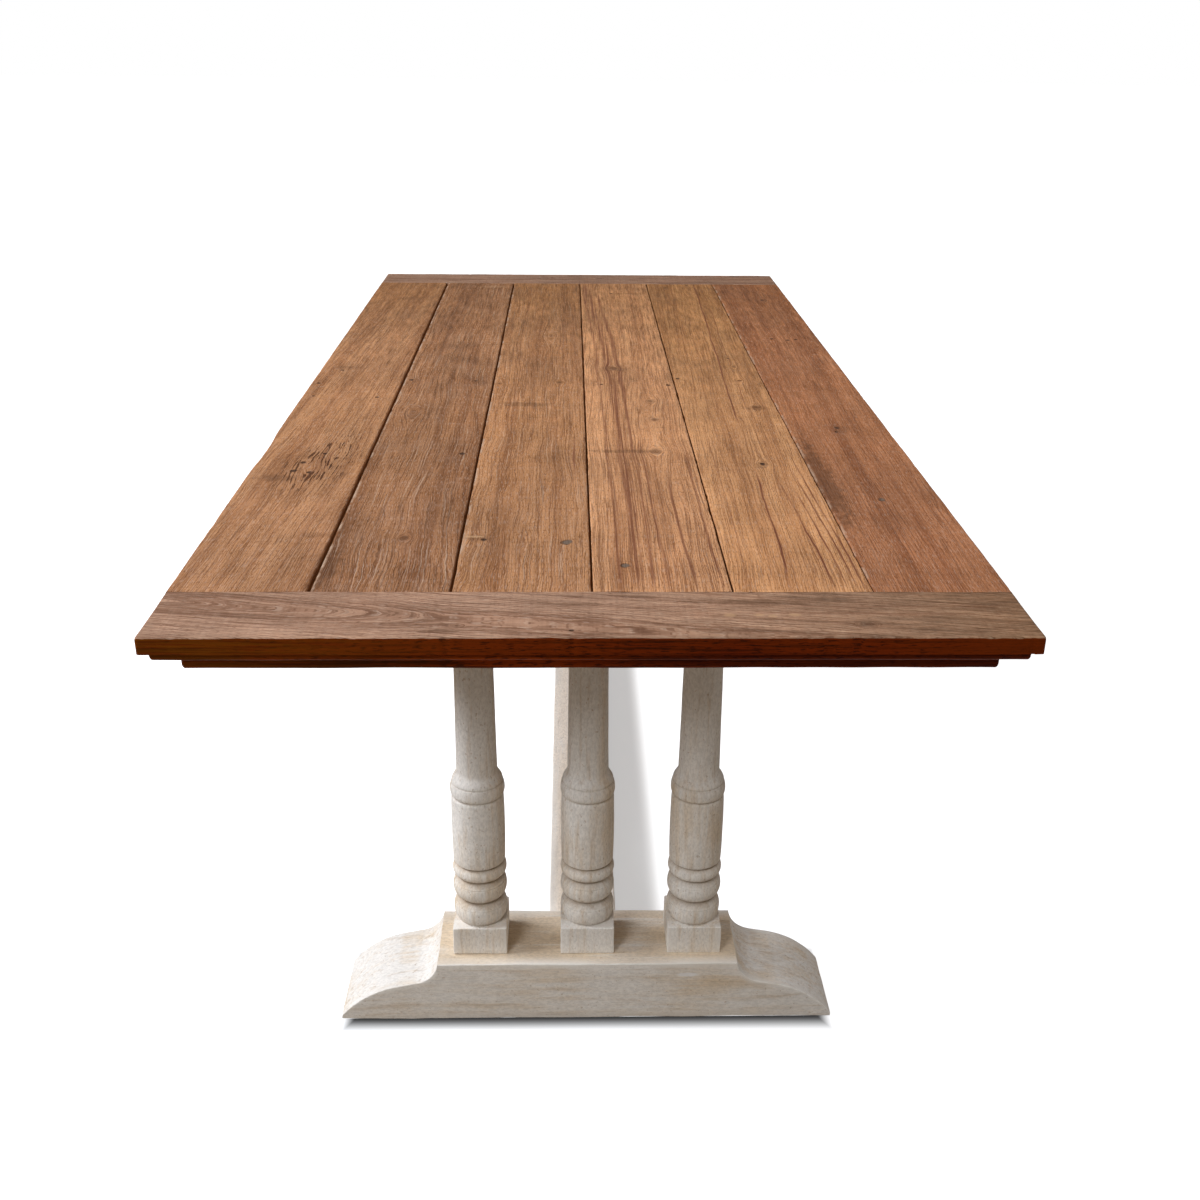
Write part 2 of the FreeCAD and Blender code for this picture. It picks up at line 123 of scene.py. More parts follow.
def use(tree, group, **inputs):
    """Places a group in a material with its own values."""
    node = tree.nodes.new("ShaderNodeGroup")
    node.node_tree = group
    for key, value in inputs.items():
        socket = node.inputs[key.replace("_", " ")]
        if isinstance(value, bpy.types.NodeSocket):
            tree.links.new(value, socket)
        else:
            socket.default_value = value
    return node.outputs


def finish(name, specular):
    """A material with one Principled shader, ready for its colour, roughness and bump."""
    material = bpy.data.materials.new(name)
    material.use_nodes = True
    tree = material.node_tree
    shader = tree.nodes["Principled BSDF"]
    shader.inputs["Specular IOR Level"].default_value = specular
    return material, tree, shader


def grain_place(tree, turn):
    """Object coordinates turned so that the grain runs along their second axis."""
    place = tree.nodes.new("ShaderNodeTexCoord").outputs["Object"]
    return put(tree, "ShaderNodeMapping", {"Vector": place, "Rotation": turn}).outputs[0]


def wire_up(tree, shader, colour, rough, height, depth):
    """Gives the shader its colour and roughness, and a bump of a depth in metres."""
    tree.links.new(colour, shader.inputs["Base Color"])
    tree.links.new(rough, shader.inputs["Roughness"])
    bump = put(tree, "ShaderNodeBump", {"Strength": 1.0, "Distance": depth, "Height": height})
    tree.links.new(bump.outputs[0], shader.inputs["Normal"])


# Lime wiped over open-grained wood: chalk in the hollows, sandy wood where it is rubbed, dirt and painted shade in the
# recesses.
bare_wood = (0.74, 0.610, 0.450, 1.0)
fibre_brown = (0.54, 0.43, 0.32, 1.0)
chalk_white = (0.88, 0.86, 0.82, 1.0)
speck_brown = (0.42, 0.285, 0.175, 1.0)
rubbed_lime = (0.89, 0.865, 0.815, 1.0)
recess_dirt_and_shade = (0.30, 0.205, 0.125, 1.0)
limed, given, result = new_group(
    "limed_grain",
    {"Place": "Vector", "Recess": "Float", "Arris": "Float", "Bare": "Float", "Lime": "Color"},
    {"Colour": "Color", "Rough": "Float", "Height": "Float"},
)
place = given["Place"]
fibres = cloud(limed, place, (130.0, 9.0, 130.0), 4.0, 0.62)
bands = cloud(limed, place, (30.0, 2.2, 30.0), 3.0, 0.55, (3.1, 0.4, 7.7))
patches = cloud(limed, place, (6.0, 4.0, 6.0), 4.0, 0.6, (11.0, 5.0, 2.0))
grains = cloud(limed, place, (340.0, 150.0, 340.0), 3.0, 0.65)
specks = ramp(limed, cloud(limed, place, (240.0, 170.0, 240.0), 2.0, 0.5, (2.0, 9.0, 4.0)), 0.655, 0.705)
bare = maths(limed, "ADD", maths(limed, "MULTIPLY", bands, 0.45), maths(limed, "MULTIPLY", patches, 0.65))
bare = maths(limed, "ADD", bare, maths(limed, "MULTIPLY", fibres, 0.35))
bare = ramp(limed, maths(limed, "ADD", bare, given["Bare"]), 0.62, 0.96)
colour = tint(limed, bare, given["Lime"], bare_wood)
colour = layer(limed, colour, ramp(limed, fibres, 0.54, 0.70), 0.36, fibre_brown)
colour = layer(limed, colour, ramp(limed, fibres, 0.42, 0.26), 0.45, chalk_white)
colour = layer(limed, colour, specks, 0.42, speck_brown)
colour = scaled(limed, colour, ramp(limed, grains, 0.32, 0.68, 0.88, 1.08))
colour = layer(limed, colour, given["Arris"], ramp(limed, patches, 0.35, 0.60, 0.15, 0.75), rubbed_lime)
# Recesses turn dark brown: partly dirt, partly painted shade.
dirt_and_shade = maths(limed, "MULTIPLY", given["Recess"], ramp(limed, patches, 0.30, 0.62, 0.45, 1.0))
colour = layer(limed, colour, dirt_and_shade, 0.72, recess_dirt_and_shade)
limed.links.new(colour, result.inputs["Colour"])
limed.links.new(ramp(limed, bare, 0.0, 1.0, 0.86, 0.68), result.inputs["Rough"])
relief = maths(limed, "ADD", maths(limed, "MULTIPLY", fibres, 0.7), maths(limed, "MULTIPLY", grains, 0.35))
limed.links.new(maths(limed, "SUBTRACT", relief, maths(limed, "MULTIPLY", specks, 0.3)), result.inputs["Height"])


def wash(tree, mask, colour):
    """Lays a colour over part of a finish."""
    base = tree.nodes["Principled BSDF"].inputs["Base Color"]
    tree.links.new(tint(tree, mask, base.links[0].from_socket, colour), base)


def limed_finish(name, turn, bare_share, upward_bare_and_shade=0.0, lime=(0.880, 0.855, 0.810)):
    """Limed wood with its own share of bare wood, and more of it on faces that look upward: partly wear, partly painted
    shade.
    """
    material, tree, shader = finish(name, 0.18)
    recess = put(tree, "ShaderNodeAttribute", attribute_name="recess").outputs["Fac"]
    arris = put(tree, "ShaderNodeAttribute", attribute_name="arris").outputs["Fac"]
    upward = apart(tree, tree.nodes.new("ShaderNodeNewGeometry").outputs["Normal"])[2]
    bare = maths(tree, "MULTIPLY_ADD", ramp(tree, upward, 0.97, 1.0), upward_bare_and_shade, bare_share)
    look = use(tree, limed, Place=grain_place(tree, turn), Recess=recess, Arris=arris, Bare=bare, Lime=lime + (1.0,))
    wire_up(tree, shader, look["Colour"], look["Rough"], look["Height"], 0.0006)
    return material


ALONG_X = (0.0, 0.0, math.pi / 2)
ALONG_Y = (0.0, 0.0, 0.0)
ALONG_Z = (-math.pi / 2, 0.0, 0.0)
crease = math.radians(38.0)


def linked(name, data):
    """A new object in the scene that holds a mesh, a lamp or a camera."""
    holder = bpy.data.objects.new(name, data)
    bpy.context.collection.objects.link(holder)
    return holder


def loft(name, rings, materials, side_of=None, arris=None):
    """A closed skin over a row of like sections; arris marks its worn corners, and the caps take the second finish
    where side_of gives one to the sides."""
    count, points, _ = rings.shape
    here = np.arange(count * points).reshape(count, points)
    after = np.roll(here, -1, axis=1)
    quads = np.stack([here[:-1], after[:-1], after[1:], here[1:]], axis=-1).reshape(-1, 4)
    faces = quads.tolist() + [here[0, ::-1].tolist(), here[-1].tolist()]
    mesh = bpy.data.meshes.new(name)
    mesh.from_pydata(rings.reshape(-1, 3).tolist(), [], faces)
    for material in materials:
        mesh.materials.append(material)
    if side_of is not None:
        mesh.polygons.foreach_set("material_index", list(side_of) * (count - 1) + [1, 1])
    if arris is not None:
        mark = mesh.attributes.new("arris", "FLOAT", "POINT")
        mark.data.foreach_set("value", np.tile(np.array(arris, dtype=np.float32), count))
    shell = bmesh.new()
    shell.from_mesh(mesh)
    bmesh.ops.recalc_face_normals(shell, faces=shell.faces)
    shell.to_mesh(mesh)
    shell.free()
    mesh.shade_smooth()
    mesh.set_sharp_from_angle(angle=crease)
    return linked(name, mesh)


def stand_for(piece, slot, *nodes):
    """The piece takes the place of its CAD nodes; nothing on this table moves."""
    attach(piece, "root")
    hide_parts(*nodes)


def rounded_ring(low_a, high_a, low_b, high_b, radii, steps=3, fill=6):
    """Corner points of a section with its own radius at each corner, and points along each side."""
    corners = [(low_a, low_b, 1, 1, 180), (high_a, low_b, -1, 1, 270),
               (high_a, high_b, -1, -1, 0), (low_a, high_b, 1, -1, 90)]
    ring = []
    for (a, b, toward_a, toward_b, start), radius in zip(corners, radii):
        for step in range(steps + 1):
            turn = math.radians(start + 90 * step / steps)
            ring.append((a + radius * (toward_a + math.cos(turn)), b + radius * (toward_b + math.sin(turn))))
    full = []
    for i, point in enumerate(ring):
        full.append(point)
        if i % (steps + 1) == steps:
            after = ring[(i + 1) % len(ring)]
            for k in range(1, fill):
                share = k / fill
                full.append((point[0] + (after[0] - point[0]) * share, point[1] + (after[1] - point[1]) * share))
    return full


def corner_marks(steps=3, fill=6):
    """One for each point on a rounded corner of a section and nought along its sides."""
    return ([1.0] * (steps + 1) + [0.0] * (fill - 1)) * 4


def weathered(rings, depth, size, seed):
    """Presses shallow, smooth unevenness into a skin, as hand work and years of use leave it."""
    noise.seed_set(seed)
    shift = Vector((seed * 3.7, seed * 1.9, seed * 5.3))
    flat = rings.reshape(-1, 3)
    moved = [Vector(p) + noise.noise_vector(Vector(p) / size + shift) * depth for p in flat.tolist()]
    return np.array(moved).reshape(rings.shape)


def ogee_line():
    """Points (x, height) over the right half of a foot: flat, hollow, slope, swell, toe."""
    cove, start, slope, run, toe = 0.043, math.radians(80), math.radians(11), 0.028, 0.006
    line = [(x, foot_height) for x in np.linspace(0.0, foot_flat_half - 0.001, 24)]
    middle = (foot_flat_half + cove * math.sin(start), foot_height + cove * math.cos(start))
    for turn in np.linspace(start, slope, 22):
        line.append((middle[0] - cove * math.sin(turn), middle[1] - cove * math.cos(turn)))
    x, z = line[-1]
    line += [(x + run * k / 5 * math.cos(slope), z - run * k / 5 * math.sin(slope)) for k in range(1, 6)]
    x, z = line[-1]
    chord = math.hypot(foot_half - x, z - toe)
    swing = math.atan2(z - toe, foot_half - x) - slope
    radius = chord / (2 * math.sin(swing))
    for k in range(1, 27):
        turn = slope + 2 * swing * k / 26
        line.append((x + radius * (math.sin(turn) - math.sin(slope)), z - radius * (math.cos(slope) - math.cos(turn))))
    return line


# The foot's flat top takes more bare tan wood than its sides: partly rubbed wear, partly painted shade.
foot_finish = limed_finish("limed_foot", ALONG_X, 0.0, 0.19)
# White filler rubbed into a hollow on the front of the near foot.
filler_place = (0.150, -0.825, 0.079)
filler_size = (0.021, 0.020, 0.0045)
filler_white = (0.95, 0.95, 0.95, 1.0)
tree = foot_finish.node_tree
place = tree.nodes.new("ShaderNodeTexCoord").outputs["Object"]
reach = length(tree, vectors(tree, "DIVIDE", vectors(tree, "SUBTRACT", place, filler_place), filler_size))
reach = maths(tree, "MULTIPLY_ADD", cloud(tree, place, (120.0, 120.0, 160.0), 3.0, 0.6), 0.9, reach)
wash(tree, ramp(tree, reach, 1.45, 1.0, 0.0, 0.75), filler_white)

sole_arris = 0.0010
corner_steps, side_points = 4, 7
half_line = ogee_line()
foot_line = [(-x, z) for x, z in half_line[:0:-1]] + half_line
for end_name, end in (("near", -1), ("far", 1)):
    front, back = end * trestle_y - foot_width / 2, end * trestle_y + foot_width / 2
    rings = []
    for x, z in foot_line:
        top = min(foot_arris, z * 0.45)
        sole = min(sole_arris, z * 0.2)
        section = rounded_ring(front, back, 0.0, z, (sole, sole, top, top), corner_steps, side_points)
        rings.append([(x, y, height) for y, height in section])
    rings = weathered(np.array(rings), depth=0.0012, size=0.09, seed=3 + end)
    rings = weathered(rings, depth=0.0005, size=0.025, seed=8 + end)
    rings[:, :, 0] = np.clip(rings[:, :, 0], -foot_half, foot_half)
    rings[:, :, 2] = np.clip(rings[:, :, 2], 0.0, foot_height)
    foot = loft(f"sledge_foot_{end_name}", rings, [foot_finish], arris=corner_marks(corner_steps, side_points))
    stand_for(foot, "limed_wood", f"foot_{end_name}")


# Stretcher: a plain limed beam that ties the two feet together, a little left of the middle.
# Its stub tenons sit in blind mortises in the feet, each held by a peg driven from below.
stretcher_width = 0.104
stretcher_top = 0.090
stretcher_under = 0.030
stretcher_x = -0.006
stretcher_arris = (0.002, 0.002, 0.0022, 0.0022)
# The stretcher's lime is warmer and brighter than that of the other limed parts: partly its own tone, partly painted
# light.
stretcher_lime_and_light = (0.98, 0.87, 0.74)
shoulder_bury = 0.0015
stretcher_reach = trestle_y - foot_width / 2 + shoulder_bury


def beam(name, axis, span, across, upright, radii, materials, wear=(0.0006, 0.08), seed=1, end_round=0.0,
         pitch=0.02):
    """A straight timber along an axis, its arrises eased and its ends rounded over where they show."""
    inner = np.linspace(span[0] + end_round, span[1] - end_round, max(2, int((span[1] - span[0]) / pitch)))
    places = [(t, 0.0) for t in inner]
    if end_round > 0:
        turns = np.linspace(math.pi / 2, 0.0, 5)[:-1]
        start = [(span[0] + end_round * (1 - math.sin(a)), end_round * (1 - math.cos(a))) for a in turns]
        places = start + places + [(span[0] + span[1] - t, inset) for t, inset in reversed(start)]
    rings = []
    for t, inset in places:
        ring = rounded_ring(across[0] + inset, across[1] - inset, upright[0] + inset, upright[1], radii)
        rings.append([{"x": (t, a, b), "y": (a, t, b), "z": (a, b, t)}[axis] for a, b in ring])
    rings = weathered(np.array(rings), wear[0], wear[1], seed)
    return loft(name, rings, materials, arris=corner_marks())


stretcher_finish = limed_finish("limed_stretcher", ALONG_Y, -0.03, 0.0, stretcher_lime_and_light)
stretcher = beam("low_stretcher", "y", (-stretcher_reach, stretcher_reach),
                 (stretcher_x - stretcher_width / 2, stretcher_x + stretcher_width / 2),
                 (stretcher_under, stretcher_top), stretcher_arris, [stretcher_finish], seed=5)
stand_for(stretcher, "limed_wood", "stretcher")


# Balusters: six limed uprights turned from square stock, three to a trestle.
# A square plinth and cap are left on each; between them are three rings, a barrel, a collar and a plain column.
plinth_half = 0.040
plinth_low = foot_height
plinth_high = 0.146
cap_low = 0.634
cap_high = 0.678
baluster_spacing = 0.160


def bead(low, high, radius, groove, scribed=True, foot_radius=None):
    """Points up one turned bead: round and undercut below, a scribed line on its shoulder, falling into a groove."""
    points = []
    tall = high - low
    start = groove if foot_radius is None else foot_radius
    belly, scribe = 0.45, 0.4633
    for share in np.linspace(0.0, 1.0, 11):
        turn = math.pi / 2 * share
        points.append((start + (radius - start) * math.sin(turn), low + tall * belly * (1 - math.cos(turn))))
    for share in np.linspace(0.08, 1.0, 13):
        edge = radius - (radius - groove) * (1 - math.sqrt(1 - share ** 2.1))
        height = low + tall * (belly + (1 - belly) * share)
        points.append((edge, height))
        if scribed and abs(share - scribe) < 0.04:
            points += [(edge - 1.1, height + 0.35), (edge - 0.25, height + 0.95)]
    return points


def turning_line():
    """Radius and height, in millimetres, up the turned part of a baluster."""
    ring_radius, ring_groove = 40.0, 27.6
    barrel_radius, barrel_swell, barrel_low, barrel_tall = 38.2, 0.8, 249.5, 104.0
    collar_groove, collar_radius, collar_low, collar_belly, collar_tall = 35.2, 39.6, 360.1, 368.5, 12.2
    flare_radius, flare_low, flare_tall = 37.0, 382.6, 18.0
    column_radius, column_taper, column_tall = 29.7, 2.4, 206.0
    neck_radius, neck_swell, neck_low, neck_tall = 28.6, 3.9, 609.0, 10.0
    column_low = flare_low + flare_tall
    line = [(0.0, 140.0), (30.0, 140.0), (35.0, 145.4)]
    line += bead(146.2, 184.6, ring_radius, ring_groove, True, 32.0)
    line += bead(184.9, 222.8, ring_radius, ring_groove)
    line += bead(223.1, 245.6, 39.8, 31.4, False)
    line += [(31.6, 246.0), (35.6, 246.7), (37.8, 248.5)]
    for share in np.linspace(0.0, 1.0, 14):
        line.append((barrel_radius + barrel_swell * math.sin(math.pi * share), barrel_low + barrel_tall * share))
    line += [(38.0, 355.4), (37.2, 357.6), (36.0, 359.2), (collar_groove, 359.8)]
    for turn in np.linspace(0.0, math.pi / 2, 9):
        line.append((collar_groove + (collar_radius - collar_groove) * math.sin(turn),
                     collar_low + (collar_belly - collar_low) * (1 - math.cos(turn))))
    for share in np.linspace(0.15, 1.0, 8):
        line.append((collar_radius - 2.0 * share ** 2.4, collar_belly + collar_tall * share))
    line += [(36.5, 381.5), (flare_radius, flare_low)]
    for share in np.linspace(0.0, 1.0, 12)[1:]:
        fall = (1 - math.cos(math.pi * share)) / 2
        line.append((flare_radius - (flare_radius - column_radius) * fall, flare_low + flare_tall * share))
    for z in np.linspace(410.0, 606.6, 14):
        line.append((column_radius - column_taper * ((z - column_low) / column_tall) ** 0.8, z))
    line += [(26.8, 607.6), (27.6, 608.6)]
    for share in np.linspace(0.0, 1.0, 10):
        line.append((neck_radius + neck_swell * math.sin(math.pi * share), neck_low + neck_tall * share))
    line += [(28.0, 620.2), (28.4, 622.0), (29.8, 626.5), (33.2, 631.0), (35.8, 633.6), (30.0, 640.0), (0.0, 640.0)]
    return [(r / 1000, z / 1000) for r, z in line]


def lathe_tree():
    """Turns the host's line of points about the upright axis and sets the result at its place."""
    tree, given, result = new_group(
        "turned_upright",
        {"Geometry": "Geometry", "Place": "Vector", "Segments": "Int", "Wobble": "Float", "Seed": "Float",
         "Finish": "Material"},
        {"Geometry": "Geometry"}, "GeometryNodeTree",
    )
    line = given["Geometry"]
    points = put(tree, "GeometryNodeAttributeDomainSize", {0: line}, component="MESH").outputs[0]
    around = maths(tree, "ADD", given["Segments"], 1.0)
    grid = put(tree, "GeometryNodeMeshGrid", {"Vertices X": around, "Vertices Y": points}).outputs["Mesh"]
    index = tree.nodes.new("GeometryNodeInputIndex").outputs[0]
    column = maths(tree, "FLOOR", maths(tree, "DIVIDE", maths(tree, "ADD", index, 0.5), points))
    row = maths(tree, "SUBTRACT", index, maths(tree, "MULTIPLY", column, points))
    where = tree.nodes.new("GeometryNodeInputPosition").outputs[0]
    sample = put(tree, "GeometryNodeSampleIndex", {"Geometry": line}, data_type="FLOAT_VECTOR")
    tree.links.new(where, sample.inputs["Value"])
    tree.links.new(row, sample.inputs["Index"])
    split = apart(tree, sample.outputs[0])
    turn = maths(tree, "MULTIPLY", maths(tree, "DIVIDE", column, given["Segments"]), 2 * math.pi)
    ray = put(tree, "ShaderNodeCombineXYZ", {0: maths(tree, "COSINE", turn), 1: maths(tree, "SINE", turn)}).outputs[0]
    height = put(tree, "ShaderNodeCombineXYZ", {2: split[2]}).outputs[0]
    spot = vectors(tree, "ADD", scaled(tree, ray, split[0]), height)
    uneven = put(tree, "ShaderNodeTexNoise", {"W": given["Seed"], "Vector": spot, "Scale": 28.0, "Detail": 2.0},
                 noise_dimensions="4D").outputs[0]
    push = maths(tree, "MULTIPLY", maths(tree, "SUBTRACT", uneven, 0.5), given["Wobble"])
    push = maths(tree, "MULTIPLY", push, maths(tree, "GREATER_THAN", split[0], 0.001))
    spot = vectors(tree, "ADD", spot, scaled(tree, ray, push))
    spot = vectors(tree, "ADD", spot, given["Place"])
    hollow = put(tree, "GeometryNodeInputNamedAttribute", {"Name": "recess"}, data_type="FLOAT").outputs[0]
    depth = put(tree, "GeometryNodeSampleIndex", {"Geometry": line}, data_type="FLOAT")
    tree.links.new(hollow, depth.inputs["Value"])
    tree.links.new(row, depth.inputs["Index"])
    skin = put(tree, "GeometryNodeStoreNamedAttribute", {"Geometry": grid, "Name": "recess", "Value": depth.outputs[0]},
               data_type="FLOAT", domain="POINT").outputs[0]
    skin = put(tree, "GeometryNodeSetPosition", {"Geometry": skin, "Position": spot}).outputs[0]
    skin = put(tree, "GeometryNodeMergeByDistance", {"Geometry": skin, "Distance": 0.00001}).outputs[0]
    skin = put(tree, "GeometryNodeRealizeInstances", {"Geometry": skin}).outputs[0]
    skin = put(tree, "GeometryNodeSetMaterial", {"Geometry": skin, "Material": given["Finish"]}).outputs[0]
    tree.links.new(skin, result.inputs[0])
    return tree


def grown(name, host_mesh, tree, values):
    """Runs a geometry tree on a host mesh with the given inputs and keeps the plain mesh it makes."""
    host = linked(name + "_host", host_mesh)
    modifier = host.modifiers.new("grow", "NODES")
    modifier.node_group = tree
    for socket in tree.interface.items_tree:
        if socket.in_out == "INPUT" and socket.name in values:
            modifier[socket.identifier] = values[socket.name]
    scene_state = bpy.context.evaluated_depsgraph_get()
    mesh = bpy.data.meshes.new_from_object(host.evaluated_get(scene_state))
    bpy.data.objects.remove(host)
    mesh.name = name
    return mesh


def joined(name, meshes, material):
    """One piece from several shells."""
    whole = bmesh.new()
    for mesh in meshes:
        whole.from_mesh(mesh)
    bmesh.ops.recalc_face_normals(whole, faces=whole.faces)
    mesh = bpy.data.meshes.new(name)
    whole.to_mesh(mesh)
    whole.free()
    mesh.materials.clear()
    mesh.materials.append(material)
    mesh.shade_smooth()
    mesh.set_sharp_from_angle(angle=crease)
    return linked(name, mesh)


def shell_of(piece):
    """Takes the mesh of a helper object and drops the object."""
    mesh = piece.data
    bpy.data.objects.remove(piece)
    return mesh


lathe_segments = 96
lathe_wobble = 0.0009
block_arris = 0.0013
block_end_round = 0.0012
recess_span = 0.0045
recess_full_depth = 0.0030
recess_top = 0.385
profile = turning_line()
profile_mesh = bpy.data.meshes.new("baluster_line")
profile_mesh.from_pydata([(r, 0.0, z) for r, z in profile], [(i, i + 1) for i in range(len(profile) - 1)], [])
recess = profile_mesh.attributes.new("recess", "FLOAT", "POINT")
# A point's recess is how far it lies inside the widest turning a few millimetres above or below it, up to the top of
# the collar; the finish paints dirt and shade there.
for i, (r, z) in enumerate(profile):
    around_it = [q for q, h in profile if abs(h - z) < recess_span and q > 0.02]
    deep = (max(around_it) - r) / recess_full_depth - 0.25 if around_it and z < recess_top else 0.0
    recess.data[i].value = min(1.0, max(0.0, deep))
baluster_finish = limed_finish("limed_baluster", ALONG_Z, -0.03)
turned_upright = lathe_tree()
for end_name, end in (("near", -1), ("far", 1)):
    for place_name, place in (("left", -1), ("middle", 0), ("right", 1)):
        x, y = place * baluster_spacing, end * trestle_y
        seed = 10 + 3 * end + place
        turning = grown("turning", profile_mesh.copy(), turned_upright, {
            "Place": (x, y, 0.0), "Segments": lathe_segments, "Wobble": lathe_wobble, "Seed": float(seed),
            "Finish": baluster_finish})
        sides_x, sides_y = (x - plinth_half, x + plinth_half), (y - plinth_half, y + plinth_half)
        blocks = []
        for upright in ((plinth_low, plinth_high), (cap_low, cap_high)):
            block = beam("block", "z", upright, sides_x, sides_y, (block_arris,) * 4, [baluster_finish],
                         (0.0008, 0.035), seed, block_end_round, 0.006)
            blocks.append(shell_of(block))
        baluster = joined(f"turned_baluster_{end_name}_{place_name}", [turning] + blocks, baluster_finish)
        stand_for(baluster, "limed_wood", f"baluster_{end_name}_{place_name}")


# Head rails: limed bearers across the top of each trestle, bevelled at the ends.
# The balusters' upper tenons go into them, and sunk screws hold the top down to them.
head_half = 0.370
head_width = 0.090
head_under = 0.678
boards_under = 0.748
head_bevel = 0.030
head_arris = (0.003, 0.003, 0.0015, 0.0015)
board_pitch = 1.002 / 6
outer_screw_x = 0.352
head_screw_x = [-outer_screw_x, *(k * board_pitch for k in (-1.5, -0.5, 0.5, 1.5)), outer_screw_x]
counterbore = 0.006
counterbore_depth = 0.030


def drilled(piece, places, radius, depth):
    """Bores upright holes of one size into the underside of a piece."""
    drill = bmesh.new()
    for place in places:
        bit = bmesh.ops.create_cone(drill, cap_ends=True, segments=24, radius1=radius, radius2=radius, depth=2 * depth)
        bmesh.ops.translate(drill, verts=bit["verts"], vec=place)
    cutter_mesh = bpy.data.meshes.new("counterbores")
    drill.to_mesh(cutter_mesh)
    drill.free()
    cutter = linked("counterbores", cutter_mesh)
    bored = piece.modifiers.new("bored", "BOOLEAN")
    bored.operation = "DIFFERENCE"
    bored.object = cutter
    cut_mesh = bpy.data.meshes.new_from_object(piece.evaluated_get(bpy.context.evaluated_depsgraph_get()))
    piece.modifiers.clear()
    piece.data = cut_mesh
    bpy.data.objects.remove(cutter)
    cut_mesh.set_sharp_from_angle(angle=crease)


head_finish = limed_finish("limed_head_rail", ALONG_X, 0.10)
bevel_start = 2 * head_half - head_bevel
head_stops = np.concatenate([np.linspace(0.0, head_bevel, 6), np.linspace(head_bevel, bevel_start, 40)[1:-1],
                             np.linspace(bevel_start, 2 * head_half, 6)])
for end_name, end in (("near", -1), ("far", 1)):
    front, back = end * trestle_y - head_width / 2, end * trestle_y + head_width / 2
    rings = []
    for t in head_stops:
        low = head_under + max(0.0, head_bevel - t, t - bevel_start)
        section = rounded_ring(front, back, low, boards_under, head_arris)
        rings.append([(t - head_half, y, z) for y, z in section])
    rings = weathered(np.array(rings), depth=0.0005, size=0.07, seed=20 + end)
    rail = loft(f"bevelled_head_rail_{end_name}", rings, [head_finish], arris=corner_marks())
    drilled(rail, [(x, end * trestle_y, head_under) for x in head_screw_x], counterbore, counterbore_depth)
    stand_for(rail, "limed_wood", f"head_rail_{end_name}")


# Stepped frame: thin edge strips under the planks, tenoned rails under the strips, and three cross bearers.
# All are plain sawn hardwood, stained dark, with the lower outside arris rounded over.
strips_under = 0.7355
rails_under = 0.7125
strip_x, strip_y = 0.490, 1.090
rail_x, rail_y = 0.464, 1.064
rail_inner_x, rail_inner_y = 0.394, 0.994
worn_low, worn_high, hidden_arris = 0.004, 0.0015, 0.001
bearer_y = [-0.380, 0.0, 0.380]
bearer_half = 0.035
bearer_arris = (0.0015, 0.0015, 0.001, 0.001)
stain_patch = (0.20, 0.042, 0.003, 1.0)
pore_black = (0.018, 0.003, 0.001, 1.0)
thin_stain = (0.180, 0.050, 0.002, 1.0)

stained, given, result = new_group(
    "stained_grain",
    {"Place": "Vector", "Light": "Color", "Dark": "Color"},
    {"Colour": "Color", "Rough": "Float", "Height": "Float"},
)
streaks = cloud(stained, given["Place"], (190.0, 5.0, 260.0), 4.0, 0.68)
pores = cloud(stained, given["Place"], (560.0, 70.0, 560.0), 2.0, 0.6, (5.0, 1.0, 3.0))
patches = cloud(stained, given["Place"], (6.0, 2.0, 6.0), 3.0, 0.55, (1.0, 8.0, 2.0))
tone = maths(stained, "ADD", maths(stained, "MULTIPLY", streaks, 0.7), maths(stained, "MULTIPLY", patches, 0.5))
colour = tint(stained, ramp(stained, tone, 0.48, 0.72), given["Dark"], given["Light"])
colour = layer(stained, colour, ramp(stained, patches, 0.50, 0.64), 0.25, stain_patch)
colour = layer(stained, colour, ramp(stained, pores, 0.52, 0.64), 0.75, pore_black)
stained.links.new(colour, result.inputs["Colour"])
stained.links.new(ramp(stained, streaks, 0.3, 0.7, 0.62, 0.48), result.inputs["Rough"])
stained.links.new(maths(stained, "SUBTRACT", streaks, maths(stained, "MULTIPLY", pores, 0.5)), result.inputs["Height"])


def stained_finish(name, turn, light, dark):
    """Stained wood with its grain along one axis, between a light and a dark tone."""
    material, tree, shader = finish(name, 0.035)
    look = use(tree, stained, Place=grain_place(tree, turn), Light=light + (1.0,), Dark=dark + (1.0,))
    wire_up(tree, shader, look["Colour"], look["Rough"], look["Height"], 0.0004)
    return material


def faded(material, low, high, right_strength, right_stain_and_shade):
    """Less stain toward the left side, where the wood shows a yellower brown, and another tone over the right side:
    painted shade on the end rails and strips, a lighter red-brown on the end edges.
    """
    tree = material.node_tree
    place = tree.nodes.new("ShaderNodeTexCoord").outputs["Object"]
    across = apart(tree, place)[0]
    fine = cloud(tree, place, (9.0, 260.0, 260.0), 3.0, 0.65)
    share = maths(tree, "MULTIPLY", ramp(tree, across, -0.05, -0.48), ramp(tree, fine, 0.36, 0.62, 0.25, 0.85))
    wash(tree, share, thin_stain)
    wash(tree, ramp(tree, across, low, high, 0.0, right_strength), right_stain_and_shade)


